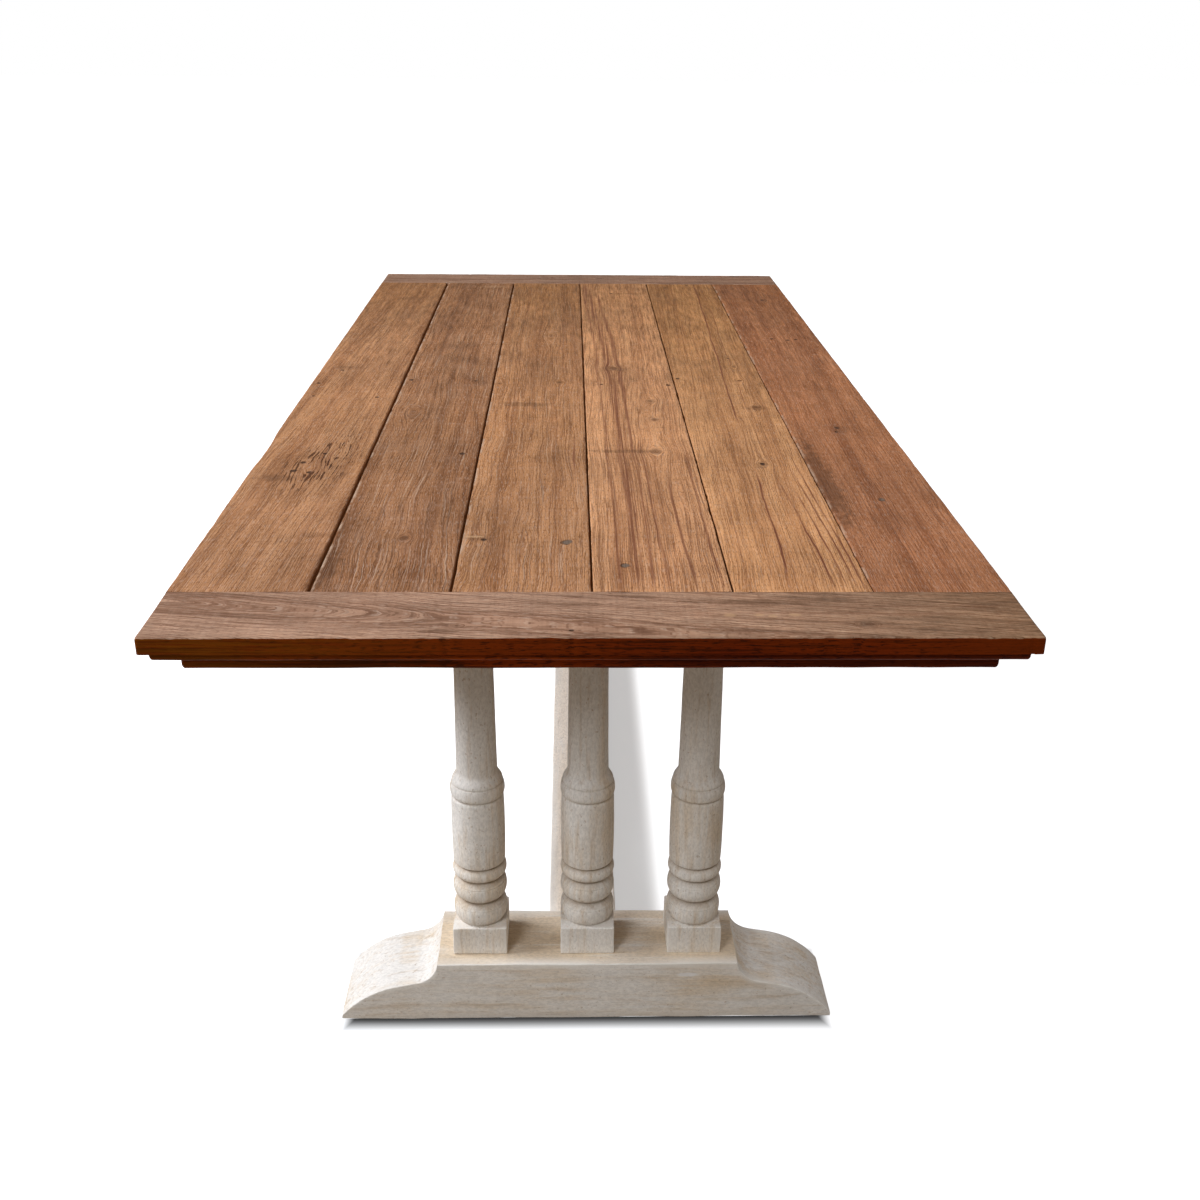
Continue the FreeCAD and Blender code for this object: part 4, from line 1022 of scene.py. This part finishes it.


# Each plank's own look, by its number from the left. Places are metres across and along the top.
# heart: the log's heart across and below, its lean, dip and wander. tone: mean colour, pale and dark shares.
# knots: place, size, stretch, darkness. veins: start, lean, bow, width, from, to, strength.
# stains: place, half sizes, strength, with pale scuffs below nought. nails: place and size.
# The near and far shares paint shade: darker toward the near end, and toward the far end from the place in turn on.
planks = {
    1: dict(seed=1.0, ripple=0.011, near_shade=1.0, far_shade=0.62,
            heart=(-0.62, -0.10, 0.03, 0.02, 0.016), banding=0.20, figure=0.60, hairs=0.20, grey=0.08, drop=0.0,
            tone=((0.452, 0.224, 0.111), 1.20, 0.46), worn=(0.0, 0.3),
            knots=((-0.412, -0.515, 0.026, 2.4, 0.0), (-0.385, -0.445, 0.021, 3.0, 0.0),
                   (-0.437, -0.60, 0.014, 4.0, 0.0)),
            veins=((-0.366, 0.06, 0.0, 0.0022, -0.60, -0.38, 0.85), (-0.352, 0.05, 0.0, 0.0018, -0.60, -0.47, 0.85),
                   (-0.380, 0.055, 0.0, 0.0018, -0.60, -0.36, 0.8), (-0.394, 0.02, 0.0, 0.0020, -0.56, -0.36, 0.7)),
            stains=((-0.455, -0.56, 0.034, 0.022, 0.40), (-0.40, 0.78, 0.05, 0.03, 0.35),
                    (-0.36, -0.790, 0.030, 0.012, 0.28), (-0.45, 0.10, 0.04, 0.02, 0.25),
                    (-0.42, -0.54, 0.08, 0.17, 0.15)),
            nails=((-0.457, 0.080, 0.004), (-0.485, -0.017, 0.004), (-0.479, -0.106, 0.004), (-0.366, -0.112, 0.005),
                   (-0.403, -0.441, 0.005), (-0.427, -0.486, 0.006), (-0.435, -0.525, 0.0064),
                   (-0.411, -0.532, 0.005))),
    2: dict(seed=2.0, ripple=0.016, near_shade=1.0, far_shade=0.30,
            heart=(-0.08, -0.06, 0.02, 0.05, 0.018), banding=0.30, figure=0.72, hairs=0.42, grey=0.20, drop=0.0005,
            tone=((0.350, 0.167, 0.082), 1.24, 0.42), worn=(0.85, 0.3),
            knots=((-0.241, -0.799, 0.008, 1.5, 0.55), (-0.268, -0.845, 0.013, 5.5, 0.0),
                   (-0.292, -0.204, 0.013, 3.4, 0.2)),
            veins=((-0.225, 0.0, 0.0, 0.0016, -0.97, -0.85, 0.85),),
            stains=((-0.325, -0.90, 0.022, 0.08, 0.55), (-0.25, 0.30, 0.06, 0.05, 0.2), (-0.19, 0.01, 0.02, 0.05, 0.3),
                    (-0.21, 0.93, 0.05, 0.02, -0.25)),
            nails=((-0.192, -0.439, 0.006), (-0.319, 0.012, 0.005), (-0.200, 0.006, 0.005))),
    3: dict(seed=3.0, ripple=0.018, near_shade=1.1, far_shade=0.66,
            heart=(-0.27, -0.07, -0.02, 0.04, 0.018), banding=0.20, figure=0.62, hairs=0.34, grey=0.12, drop=0.0002,
            tone=((0.444, 0.216, 0.102), 1.22, 0.44), worn=(0.8, 0.4),
            knots=((-0.058, -0.561, 0.013, 3.6, 0.0), (-0.085, -0.823, 0.014, 5.0, 0.0),
                   (-0.066, 0.385, 0.013, 4.2, 0.08), (-0.079, 0.163, 0.013, 5.5, 0.0),
                   (-0.154, -0.015, 0.006, 1.6, 0.6), (-0.046, -0.003, 0.007, 1.6, 0.6)),
            veins=((-0.020, 0.0, 0.0, 0.0022, -0.56, -0.33, 0.9),),
            stains=((-0.145, -0.802, 0.022, 0.016, 0.40), (-0.150, -0.795, 0.016, 0.004, -0.6),
                    (-0.105, -0.156, 0.06, 0.020, 0.40), (-0.10, 0.55, 0.06, 0.05, 0.15),
                    (-0.08, -0.55, 0.08, 0.18, 0.13), (-0.08, 0.18, 0.08, 0.26, 0.09)),
            nails=((-0.030, -0.814, 0.009), (-0.137, -0.805, 0.005))),
    4: dict(seed=4.0, ripple=0.009, near_shade=0.5, turn=-0.2, far_shade=0.55,
            heart=(0.33, -0.09, 0.02, 0.03, 0.016), banding=0.34, figure=0.66, hairs=0.16, grey=0.04, drop=0.0,
            tone=((0.605, 0.305, 0.154), 1.18, 0.42), worn=(0.2, 0.5),
            knots=((0.057, 0.102, 0.010, 1.7, 0.40), (0.108, -0.425, 0.011, 1.8, 0.5), (0.115, -0.132, 0.009, 1.8, 0.5),
                   (0.116, -0.248, 0.008, 1.8, 0.5), (0.132, -0.611, 0.012, 6.0, 0.0)),
            veins=((0.053, -0.022, -0.022, 0.012, -1.0, 1.0, 0.80), (0.070, -0.022, -0.018, 0.006, -1.0, 0.9, 0.75),
                   (0.030, -0.015, -0.012, 0.005, -1.0, 0.9, 0.65), (0.083, -0.010, 0.0, 0.004, -1.0, -0.3, 0.65),
                   (0.110, -0.015, 0.0, 0.0032, -1.0, -0.5, 0.7), (0.145, -0.012, 0.0, 0.0032, -1.0, -0.4, 0.65)),
            stains=((0.060, -0.425, 0.075, 0.012, 0.45), (0.06, 0.10, 0.035, 0.03, 0.35),
                    (0.11, 0.845, 0.05, 0.008, 0.45)),
            nails=((0.042, -0.894, 0.008), (0.033, -0.019, 0.005), (0.155, -0.022, 0.006), (0.075, 0.850, 0.005))),
    5: dict(seed=5.0, ripple=0.01, near_shade=0.0, turn=-0.75, far_shade=0.80,
            heart=(0.02, -0.10, 0.02, 0.012, 0.014), banding=0.20, figure=0.58, hairs=0.12, grey=0.08, drop=0.0003,
            tone=((0.600, 0.304, 0.146), 1.18, 0.44), worn=(0.3, 0.3),
            knots=((0.267, -0.488, 0.008, 1.8, 0.7), (0.298, -0.170, 0.007, 2.2, 0.5), (0.291, 0.014, 0.006, 1.6, 0.6),
                   (0.292, 0.121, 0.006, 1.6, 0.6), (0.226, 0.563, 0.012, 1.8, 0.0)),
            veins=((0.270, 0.033, 0.0, 0.0024, -1.0, -0.49, 1.0), (0.265, -0.028, 0.0, 0.0022, -1.0, -0.54, 0.95),
                   (0.279, -0.030, 0.0, 0.0020, -1.0, -0.58, 0.90), (0.292, -0.028, 0.0, 0.0018, -1.0, -0.50, 0.90),
                   (0.304, -0.024, 0.0, 0.0020, -1.0, -0.40, 0.90), (0.262, 0.026, 0.0, 0.0022, -0.3, 1.0, 0.90),
                   (0.284, 0.010, 0.02, 0.0018, -0.2, 0.7, 0.6), (0.200, 0.010, 0.0, 0.0016, -1.0, -0.3, 0.4)),
            stains=((0.298, -0.175, 0.03, 0.02, 0.35), (0.205, -0.50, 0.02, 0.03, 0.2), (0.22, 0.75, 0.05, 0.06, 0.15)),
            nails=((0.177, 0.027, 0.006), (0.268, 0.960, 0.006), (0.267, -0.486, 0.005), (0.288, 0.188, 0.004))),
    6: dict(seed=6.0, ripple=0.0075, near_shade=1.2, far_shade=0.50,
            heart=(0.86, -0.12, 0.02, 0.0, 0.012), banding=0.26, figure=0.46, hairs=0.16, grey=0.05, drop=0.0004,
            tone=((0.408, 0.171, 0.081), 1.22, 0.46), worn=(0.7, 0.0),
            knots=((0.435, 0.778, 0.010, 1.8, 0.4),),
            veins=((0.40, -0.02, 0.0, 0.006, -1.0, -0.2, 0.25), (0.45, 0.01, 0.0, 0.008, -1.0, 1.0, 0.18)),
            stains=((0.346, -0.56, 0.028, 0.26, 0.60), (0.42, -0.30, 0.02, 0.03, 0.3)),
            nails=((0.401, 0.366, 0.005), (0.433, 0.354, 0.006), (0.451, 0.360, 0.005), (0.435, 0.778, 0.005),
                   (0.417, -0.292, 0.005), (0.412, -0.315, 0.004), (0.415, -0.648, 0.007))),
}
seam_room = {0: 0.0, 1: 0.0019, 2: 0.0013, 3: 0.0010, 4: 0.0009, 5: 0.0006, 6: 0.0}
seam_arris = {0: 0.003, 1: 0.0022, 2: 0.0018, 3: 0.0016, 4: 0.0015, 5: 0.0014, 6: 0.003}
seam_wander = 0.0005
outer_bite, seam_bite = 0.0006, 0.0011
plank_sections = 420
# A long shallow hollow in the outer edge of the left plank.
hollow_depth, hollow_y, hollow_half = 0.0030, -0.42, 0.075
edge_light = (0.150, 0.0170, 0.0012)
edge_dark = (0.019, 0.0022, 0.0004)
edge_stain_y = stained_finish("stained_long_edge", ALONG_Y, edge_light, edge_dark)
edge_stain_x = stained_finish("stained_end_edge", ALONG_X, edge_light, edge_dark)
faded(edge_stain_x, low=0.34, high=0.46, right_strength=0.55, right_stain_and_shade=(0.175, 0.026, 0.0015, 1.0))


def seam_line(t, edge, seed):
    """How far a plank's edge stands back from its seam: the seam's room, its wander and its bites."""
    outside = edge in (0, 6)
    wander = 0.0 if outside else seam_wander
    bites = chips(t, seed + 1, 18, outer_bite if outside else seam_bite, 0.02)
    return seam_room[edge] + wander * slow(t, seed, 1.0) + bites


t = np.linspace(-plank_end, plank_end, plank_sections)
for number, look in planks.items():
    seed = 100 * number
    left = seam_edges[number - 1] + seam_line(t, number - 1, seed + 11)
    right = seam_edges[number] - seam_line(t, number, seed + 13)
    if number == 1:
        left = left + hollow_depth * np.exp(-np.abs((t - hollow_y) / hollow_half) ** 4)
    sections, walls, marks = plank_rings(
        t, left, right, "plain" if number == 1 else "groove", "plain" if number == 6 else "tongue", seed,
        (seam_arris[number - 1], seam_arris[number]), look["worn"], drop=look["drop"])
    along = np.repeat(t[:, None], sections.shape[1], axis=1)
    rings = np.stack([sections[:, :, 0], along, sections[:, :, 1]], axis=-1)
    face = plank_finish(f"teak_plank_{number}", ALONG_Y, look)
    board = loft(f"teak_plank_{number}", rings, [face, edge_stain_y], walls, marks)
    stand_for(board, "top_wood", f"top_board_{number}")


# Breadboard ends: a cross plank at each end of the top, grooved over the planks' end tongues.
# They keep the planks flat; their ends and outer edge are rounded over and stained dark.
bread_half = 0.5
bread_inner, bread_outer = 0.975, 1.0999
bread_round = 0.004
bread_outer_arris, bread_inner_arris = 0.0024, 0.0006
bread_looks = {
    "near": dict(seed=7.0, ripple=0.012, near_shade=0.0, level=-0.17, turn=-0.2, far_shade=1.25,
                 heart=(1.075, 0.052, 0.15, 0.105, 0.006), banding=0.50, figure=0.80, hairs=0.16, grey=0.22,
                 tone=((0.406, 0.244, 0.174), 1.22, 0.44), worn=(0.5, 0.0),
                 knots=((1.065, 0.308, 0.009, 1.8, 0.6), (1.069, -0.152, 0.006, 1.8, 0.2)),
                 veins=((1.018, 0.0, 0.0, 0.004, 0.0, 0.5, 0.35), (1.035, 0.01, 0.0, 0.003, 0.1, 0.5, 0.3)),
                 stains=((1.004, 0.19, 0.012, 0.09, 0.55), (1.012, -0.02, 0.008, 0.06, 0.35),
                         (1.085, -0.17, 0.008, 0.03, 0.5),
                         (1.040, 0.155, 0.007, 0.010, -0.5), (1.040, 0.189, 0.006, 0.009, -0.45),
                         (1.043, 0.204, 0.006, 0.007, -0.4), (1.040, 0.229, 0.006, 0.010, -0.45)),
                 nails=((1.082, -0.024, 0.003),)),
    "far": dict(seed=8.0, ripple=0.0075, near_shade=0.0, far_shade=0.0,
                heart=(-1.25, -0.05, 0.0, 0.02, 0.02), banding=0.35, figure=0.60, hairs=0.16, grey=0.35,
                tone=((0.345, 0.202, 0.140), 1.20, 0.48), worn=(0.0, 0.4),
                knots=((-1.05, 0.05, 0.008, 1.8, 0.4),), veins=((-1.03, 0.0, 0.0, 0.003, -0.5, 0.5, 0.4),),
                stains=((-1.09, 0.402, 0.01, 0.02, 0.6), (-1.02, -0.3, 0.02, 0.08, 0.3)),
                nails=((-1.09, 0.402, 0.004),)),
}
body = np.linspace(-bread_half + bread_round, bread_half - bread_round, 330)
turns = bread_round * (1 - np.cos(np.linspace(0.0, math.pi / 2, 6)[:-1]))
t = np.concatenate([-bread_half + turns, body, bread_half - turns[::-1]])
inner = bread_inner + 0.0 * t
for end_name, end, seed in (("near", -1, 700), ("far", 1, 800)):
    look = bread_looks[end_name]
    outer = bread_outer - chips(t, seed + 20, 24, 0.0014, 0.007)
    if end < 0:
        left, right, joints, arris = -outer, -inner, ("plain", "groove"), (bread_outer_arris, bread_inner_arris)
    else:
        left, right, joints, arris = inner, outer, ("groove", "plain"), (bread_inner_arris, bread_outer_arris)
    sections, walls, marks = plank_rings(t, left, right, *joints, seed, arris, look["worn"], bread_round)
    along = np.repeat(t[:, None], sections.shape[1], axis=1)
    rings = np.stack([along, sections[:, :, 0], sections[:, :, 1]], axis=-1)
    face = plank_finish(f"teak_breadboard_{end_name}", ALONG_X, look)
    board = loft(f"teak_breadboard_{end_name}", rings, [face, edge_stain_x], walls, marks)
    stand_for(board, "top_wood", f"breadboard_end_{end_name}")


# Pegs: riven hardwood dowels driven up through the breadboards, and one through each stretcher tenon.
# Only their lower ends show, from below: a little proud of the breadboards, and sunk in the soles of the feet.
peg_light = (0.52, 0.36, 0.22)
peg_dark = (0.34, 0.21, 0.12)
peg_finish = stained_finish("riven_peg", ALONG_Z, peg_light, peg_dark)
peg_chamfer = 0.0008
end_peg_y = 0.986
tenon_peg_y, tenon_peg_low = 0.715, 0.003


def stud_tree(name, sizes):
    """A geometry tree that sets one stud on every point of its host, with named inputs for the stud's sizes."""
    inputs = {"Geometry": "Geometry", **dict.fromkeys(sizes, "Float"), "Finish": "Material"}
    return new_group(name, inputs, {"Geometry": "Geometry"}, "GeometryNodeTree")


def lifted(tree, shape, height):
    """Moves a shape straight up."""
    move = put(tree, "ShaderNodeCombineXYZ", {2: height}).outputs[0]
    return put(tree, "GeometryNodeTransform", {"Geometry": shape, "Translation": move}).outputs[0]


def set_on_points(tree, given, result, shells):
    """Joins the shells, stands them on each host point, makes them real and gives them their finish."""
    whole = tree.nodes.new("GeometryNodeJoinGeometry")
    for shell in shells:
        tree.links.new(shell, whole.inputs[0])
    points = put(tree, "GeometryNodeMeshToPoints", {"Mesh": given["Geometry"]}).outputs[0]
    copies = put(tree, "GeometryNodeInstanceOnPoints", {"Points": points, "Instance": whole.outputs[0]}).outputs[0]
    real = put(tree, "GeometryNodeRealizeInstances", {"Geometry": copies}).outputs[0]
    real = put(tree, "GeometryNodeSetMaterial", {"Geometry": real, "Material": given["Finish"]}).outputs[0]
    tree.links.new(real, result.inputs[0])


peg_tree, given, result = stud_tree("driven_pegs", ("Radius", "Length", "Chamfer"))
shank = put(peg_tree, "GeometryNodeMeshCylinder", {"Vertices": 20, "Radius": given["Radius"], "Depth": given["Length"]})
shank = lifted(peg_tree, shank.outputs["Mesh"], maths(peg_tree, "MULTIPLY", given["Length"], 0.5))
tip = put(peg_tree, "GeometryNodeMeshCone", {"Vertices": 20, "Radius Top": given["Radius"], "Depth": given["Chamfer"],
                                             "Radius Bottom": maths(peg_tree, "MULTIPLY", given["Radius"], 0.86)})
tip = lifted(peg_tree, tip.outputs["Mesh"], maths(peg_tree, "MULTIPLY", given["Chamfer"], -1.0))
set_on_points(peg_tree, given, result, [shank, tip])


def studs(name, tree, places, values, slot, nodes):
    """One piece of like studs, grown by their tree on the given places."""
    points = bpy.data.meshes.new(name + "_places")
    points.from_pydata(places, [], [])
    mesh = grown(name, points, tree, values)
    piece = joined(name, [mesh], values["Finish"])
    stand_for(piece, slot, *nodes)


plank_middles = [(i - 2.5) * board_pitch for i in range(6)]
end_peg = {"Radius": 0.004, "Length": 0.012, "Chamfer": peg_chamfer, "Finish": peg_finish}
tenon_peg = {"Radius": 0.005, "Length": 0.074, "Chamfer": peg_chamfer, "Finish": peg_finish}
for end_name, end in (("near", -1), ("far", 1)):
    places = [(x, end * end_peg_y, boards_under) for x in plank_middles]
    studs(f"breadboard_pegs_{end_name}", peg_tree, places, end_peg, "peg_wood", [f"end_pegs_{end_name}"])
places = [(stretcher_x, end * tenon_peg_y, tenon_peg_low) for end in (-1, 1)]
studs("tenon_pegs", peg_tree, places, tenon_peg, "peg_wood", ["stretcher_pegs"])


# Screws: slotted countersunk steel wood screws, driven up through the frame, the bearers and the head rails.
# They draw the planks down; only their dull heads are seen, from below.
bright_zinc = (0.55, 0.54, 0.50, 1.0)
tarnished_zinc = (0.26, 0.20, 0.15, 1.0)
screw_point = 0.0005
slot_long, slot_deep = 0.02, 0.0022
proud = 0.0005
long_screw_x, long_screw_end = 0.429, 0.864
cross_screw_y, cross_screw_end = 1.029, 0.264
bearer_screw_end = 0.376
screw_finish, tree, shader = finish("dull_zinc", 0.5)
place = tree.nodes.new("ShaderNodeTexCoord").outputs["Object"]
spangle = cloud(tree, place, (900.0, 900.0, 900.0), 3.0, 0.6)
tarnish = cloud(tree, place, (160.0, 160.0, 160.0), 3.0, 0.6, (2.0, 5.0, 1.0))
colour = tint(tree, ramp(tree, tarnish, 0.40, 0.66), bright_zinc, tarnished_zinc)
shader.inputs["Metallic"].default_value = 1.0
wire_up(tree, shader, colour, ramp(tree, spangle, 0.3, 0.7, 0.38, 0.58), spangle, 0.0001)

screw_tree, given, result = stud_tree(
    "wood_screws", ("Head Radius", "Head Height", "Shank Radius", "Length", "Slot Width"))
head = put(screw_tree, "GeometryNodeMeshCone", {
    "Vertices": 28, "Radius Bottom": given["Head Radius"], "Radius Top": given["Shank Radius"],
    "Depth": given["Head Height"]}).outputs["Mesh"]
slot_size = put(screw_tree, "ShaderNodeCombineXYZ", {0: slot_long, 1: given["Slot Width"], 2: slot_deep}).outputs[0]
slot_cut = put(screw_tree, "GeometryNodeMeshCube", {"Size": slot_size}).outputs["Mesh"]
slotted = put(screw_tree, "GeometryNodeMeshBoolean", {0: head}, operation="DIFFERENCE")
screw_tree.links.new(slot_cut, slotted.inputs[1])
shank = put(screw_tree, "GeometryNodeMeshCone", {
    "Vertices": 14, "Radius Bottom": given["Shank Radius"], "Radius Top": screw_point,
    "Depth": given["Length"]}).outputs["Mesh"]
set_on_points(screw_tree, given, result, [slotted.outputs[0], lifted(screw_tree, shank, given["Head Height"])])

screw = {"Head Radius": 0.0045, "Head Height": 0.003, "Shank Radius": 0.0025, "Length": 0.044, "Slot Width": 0.0012,
         "Finish": screw_finish}
frame_low = rails_under - proud
head_low = head_under + counterbore_depth - proud
frame_places = [(side * long_screw_x, y, frame_low) for side in (-1, 1)
                for y in np.linspace(-long_screw_end, long_screw_end, 6)]
frame_places += [(x, end * cross_screw_y, frame_low) for end in (-1, 1)
                 for x in np.linspace(-cross_screw_end, cross_screw_end, 4)]
bearer_x = [min(bearer_screw_end, max(-bearer_screw_end, x)) for x in plank_middles]
bearer_places = [(x, y, frame_low) for y in bearer_y for x in bearer_x]
head_places = [(x, end * trestle_y, head_low) for end in (-1, 1) for x in head_screw_x]
studs("frame_wood_screws", screw_tree, frame_places, screw, "screw_steel", ["frame_screws"])
studs("bearer_wood_screws", screw_tree, bearer_places, screw, "screw_steel", ["bearer_screws"])
studs("head_wood_screws", screw_tree, head_places, screw, "screw_steel", ["head_screws"])


# Studio: a plain white floor that keeps the table's soft shadow, with painted shadow beside the stretcher and at the
# feet, and a pale even light from all round.
# Large soft lamps stand high on the left and behind the camera, with two weak ones on the right.
floor_half, floor_z = 30.0, -0.0005
floor_bounce = (0.25, 0.20, 0.15, 1.0)
shadow_grey = (0.02, 0.02, 0.02, 1.0)
paper_grey = (0.67, 0.70, 0.735, 1.0)
white = (1.0, 1.0, 1.0, 1.0)
warm_air = (1.0, 0.88, 0.76, 1.0)
contact_reach = 0.042
toe_start, toe_reach = foot_half - 0.022, 0.030
floor_mesh = bpy.data.meshes.new("floor")
floor_corners = [(x * floor_half, y * floor_half, floor_z) for x, y in ((-1, -1), (1, -1), (1, 1), (-1, 1))]
floor_mesh.from_pydata(floor_corners, [], [(0, 1, 2, 3)])
floor = linked("floor", floor_mesh)


def seen_directly(tree):
    """One for rays that show a surface itself: to the camera, in a gloss or through glass."""
    paths = tree.nodes.new("ShaderNodeLightPath").outputs
    seen = maths(tree, "MAXIMUM", paths["Is Camera Ray"], paths["Is Glossy Ray"])
    return maths(tree, "MAXIMUM", seen, paths["Is Transmission Ray"])


floor_finish = bpy.data.materials.new("white_floor")
floor_finish.use_nodes = True
tree = floor_finish.node_tree
tree.nodes.remove(tree.nodes["Principled BSDF"])
seen = seen_directly(tree)
spread = apart(tree, tree.nodes.new("ShaderNodeTexCoord").outputs["Object"])
out_x, out_y = maths(tree, "ABSOLUTE", spread[0]), maths(tree, "ABSOLUTE", spread[1])
# The floor glows less in a strip under the stretcher, fading out to the right: a painted shadow over the real one.
outside_painted_shadow = maths(tree, "MAXIMUM", ramp(tree, spread[0], 0.095, 0.150), ramp(tree, spread[0], -0.02, -0.05))
outside_painted_shadow = maths(tree, "MAXIMUM", outside_painted_shadow, ramp(tree, out_y, 0.70, 0.80))
# In front of each foot and just past its toes the floor's colour and glow fall toward black: a painted contact shadow.
by_foot = maths(tree, "ABSOLUTE", maths(tree, "SUBTRACT", out_y, trestle_y))
by_foot = maths(tree, "DIVIDE", maths(tree, "SUBTRACT", by_foot, foot_width / 2), contact_reach)
past_toe = maths(tree, "DIVIDE", maths(tree, "SUBTRACT", out_x, toe_start), toe_reach)
painted_contact_shadow = maths(tree, "MAXIMUM", ramp(tree, by_foot, 0.0, 1.0, 0.03, 1.0), ramp(tree, past_toe, 0.0, 1.0))
matt = put(tree, "ShaderNodeBsdfDiffuse", {"Color": floor_bounce}).outputs[0]
paper = put(tree, "ShaderNodeBsdfDiffuse", {"Color": tint(tree, painted_contact_shadow, shadow_grey, paper_grey)}).outputs[0]
floor_glow_with_painted_shadow = maths(tree, "MULTIPLY", ramp(tree, outside_painted_shadow, 0.0, 1.0, 0.42, 0.92), painted_contact_shadow)
glow = put(tree, "ShaderNodeEmission", {"Color": white, "Strength": floor_glow_with_painted_shadow}).outputs[0]
shown = put(tree, "ShaderNodeAddShader", {0: paper, 1: glow}).outputs[0]
both = put(tree, "ShaderNodeMixShader", {0: seen, 1: matt, 2: shown}).outputs[0]
sole = maths(tree, "MULTIPLY", maths(tree, "LESS_THAN", by_foot, -0.03), maths(tree, "LESS_THAN", past_toe, 0.66))
beneath = maths(tree, "MAXIMUM", tree.nodes.new("ShaderNodeNewGeometry").outputs["Backfacing"], sole)
clear = tree.nodes.new("ShaderNodeBsdfTransparent").outputs[0]
one_way = put(tree, "ShaderNodeMixShader", {0: beneath, 1: both, 2: clear}).outputs[0]
tree.links.new(one_way, tree.nodes["Material Output"].inputs["Surface"])
floor_mesh.materials.append(floor_finish)

world = bpy.data.worlds.new("studio")
bpy.context.scene.world = world
world.use_nodes = True
tree = world.node_tree
seen = seen_directly(tree)
sky = tree.nodes["Background"].inputs
tree.links.new(tint(tree, seen, warm_air, white), sky["Color"])
tree.links.new(ramp(tree, seen, 0.0, 1.0, 0.23, 1.0), sky["Strength"])

lamps = (
    ("lamp_left", (-4.7, -0.56, 4.6), (0.0, -0.5, 0.4), 3.0, 318.0, (0.97, 1.0, 1.07)),
    ("lamp_front", (-2.4, -4.5, 4.1), (0.0, -0.76, 0.3), 2.0, 101.0, (1.0, 1.02, 1.05)),
    ("lamp_right", (4.6, -1.4, 2.0), (0.0, -0.76, 0.2), 1.6, 8.0, (1.0, 0.92, 0.82)),
    ("lamp_high", (2.7, -1.2, 4.6), (0.2, -0.76, 0.1), 1.6, 22.0, (0.94, 1.02, 1.16)),
)
for name, place, aim, size, power, colour in lamps:
    lamp = bpy.data.lights.new(name, "AREA")
    lamp.shape = "DISK"
    lamp.size = size
    lamp.energy = power
    lamp.color = colour
    holder = linked(name, lamp)
    holder.location = place
    holder.rotation_euler = (Vector(aim) - Vector(place)).to_track_quat("-Z", "Y").to_euler()

# The camera stands at the near end of the table and looks down along it, as the photograph does.
camera_place = (-0.0268, -2.4051, 1.3919)
yaw, pitch, roll = 0.0253, 0.4167, 0.0103
focal_pixels, photo_pixels = 1323.40, 1200.0
ahead = Vector((math.sin(yaw) * math.cos(pitch), math.cos(yaw) * math.cos(pitch), -math.sin(pitch)))
right = Vector((math.cos(yaw), -math.sin(yaw), 0.0))
up = right.cross(ahead)
right, up = math.cos(roll) * right + math.sin(roll) * up, math.cos(roll) * up - math.sin(roll) * right
camera_data = bpy.data.cameras.new("camera")
camera_data.sensor_width = 36.0
camera_data.lens = camera_data.sensor_width * focal_pixels / photo_pixels
camera = linked("camera", camera_data)
rows = [[right[i], up[i], -ahead[i], camera_place[i]] for i in range(3)]
camera.matrix_world = Matrix(rows + [[0.0, 0.0, 0.0, 1.0]])
bpy.context.scene.camera = camera
bpy.context.scene.view_settings.view_transform = "Standard"
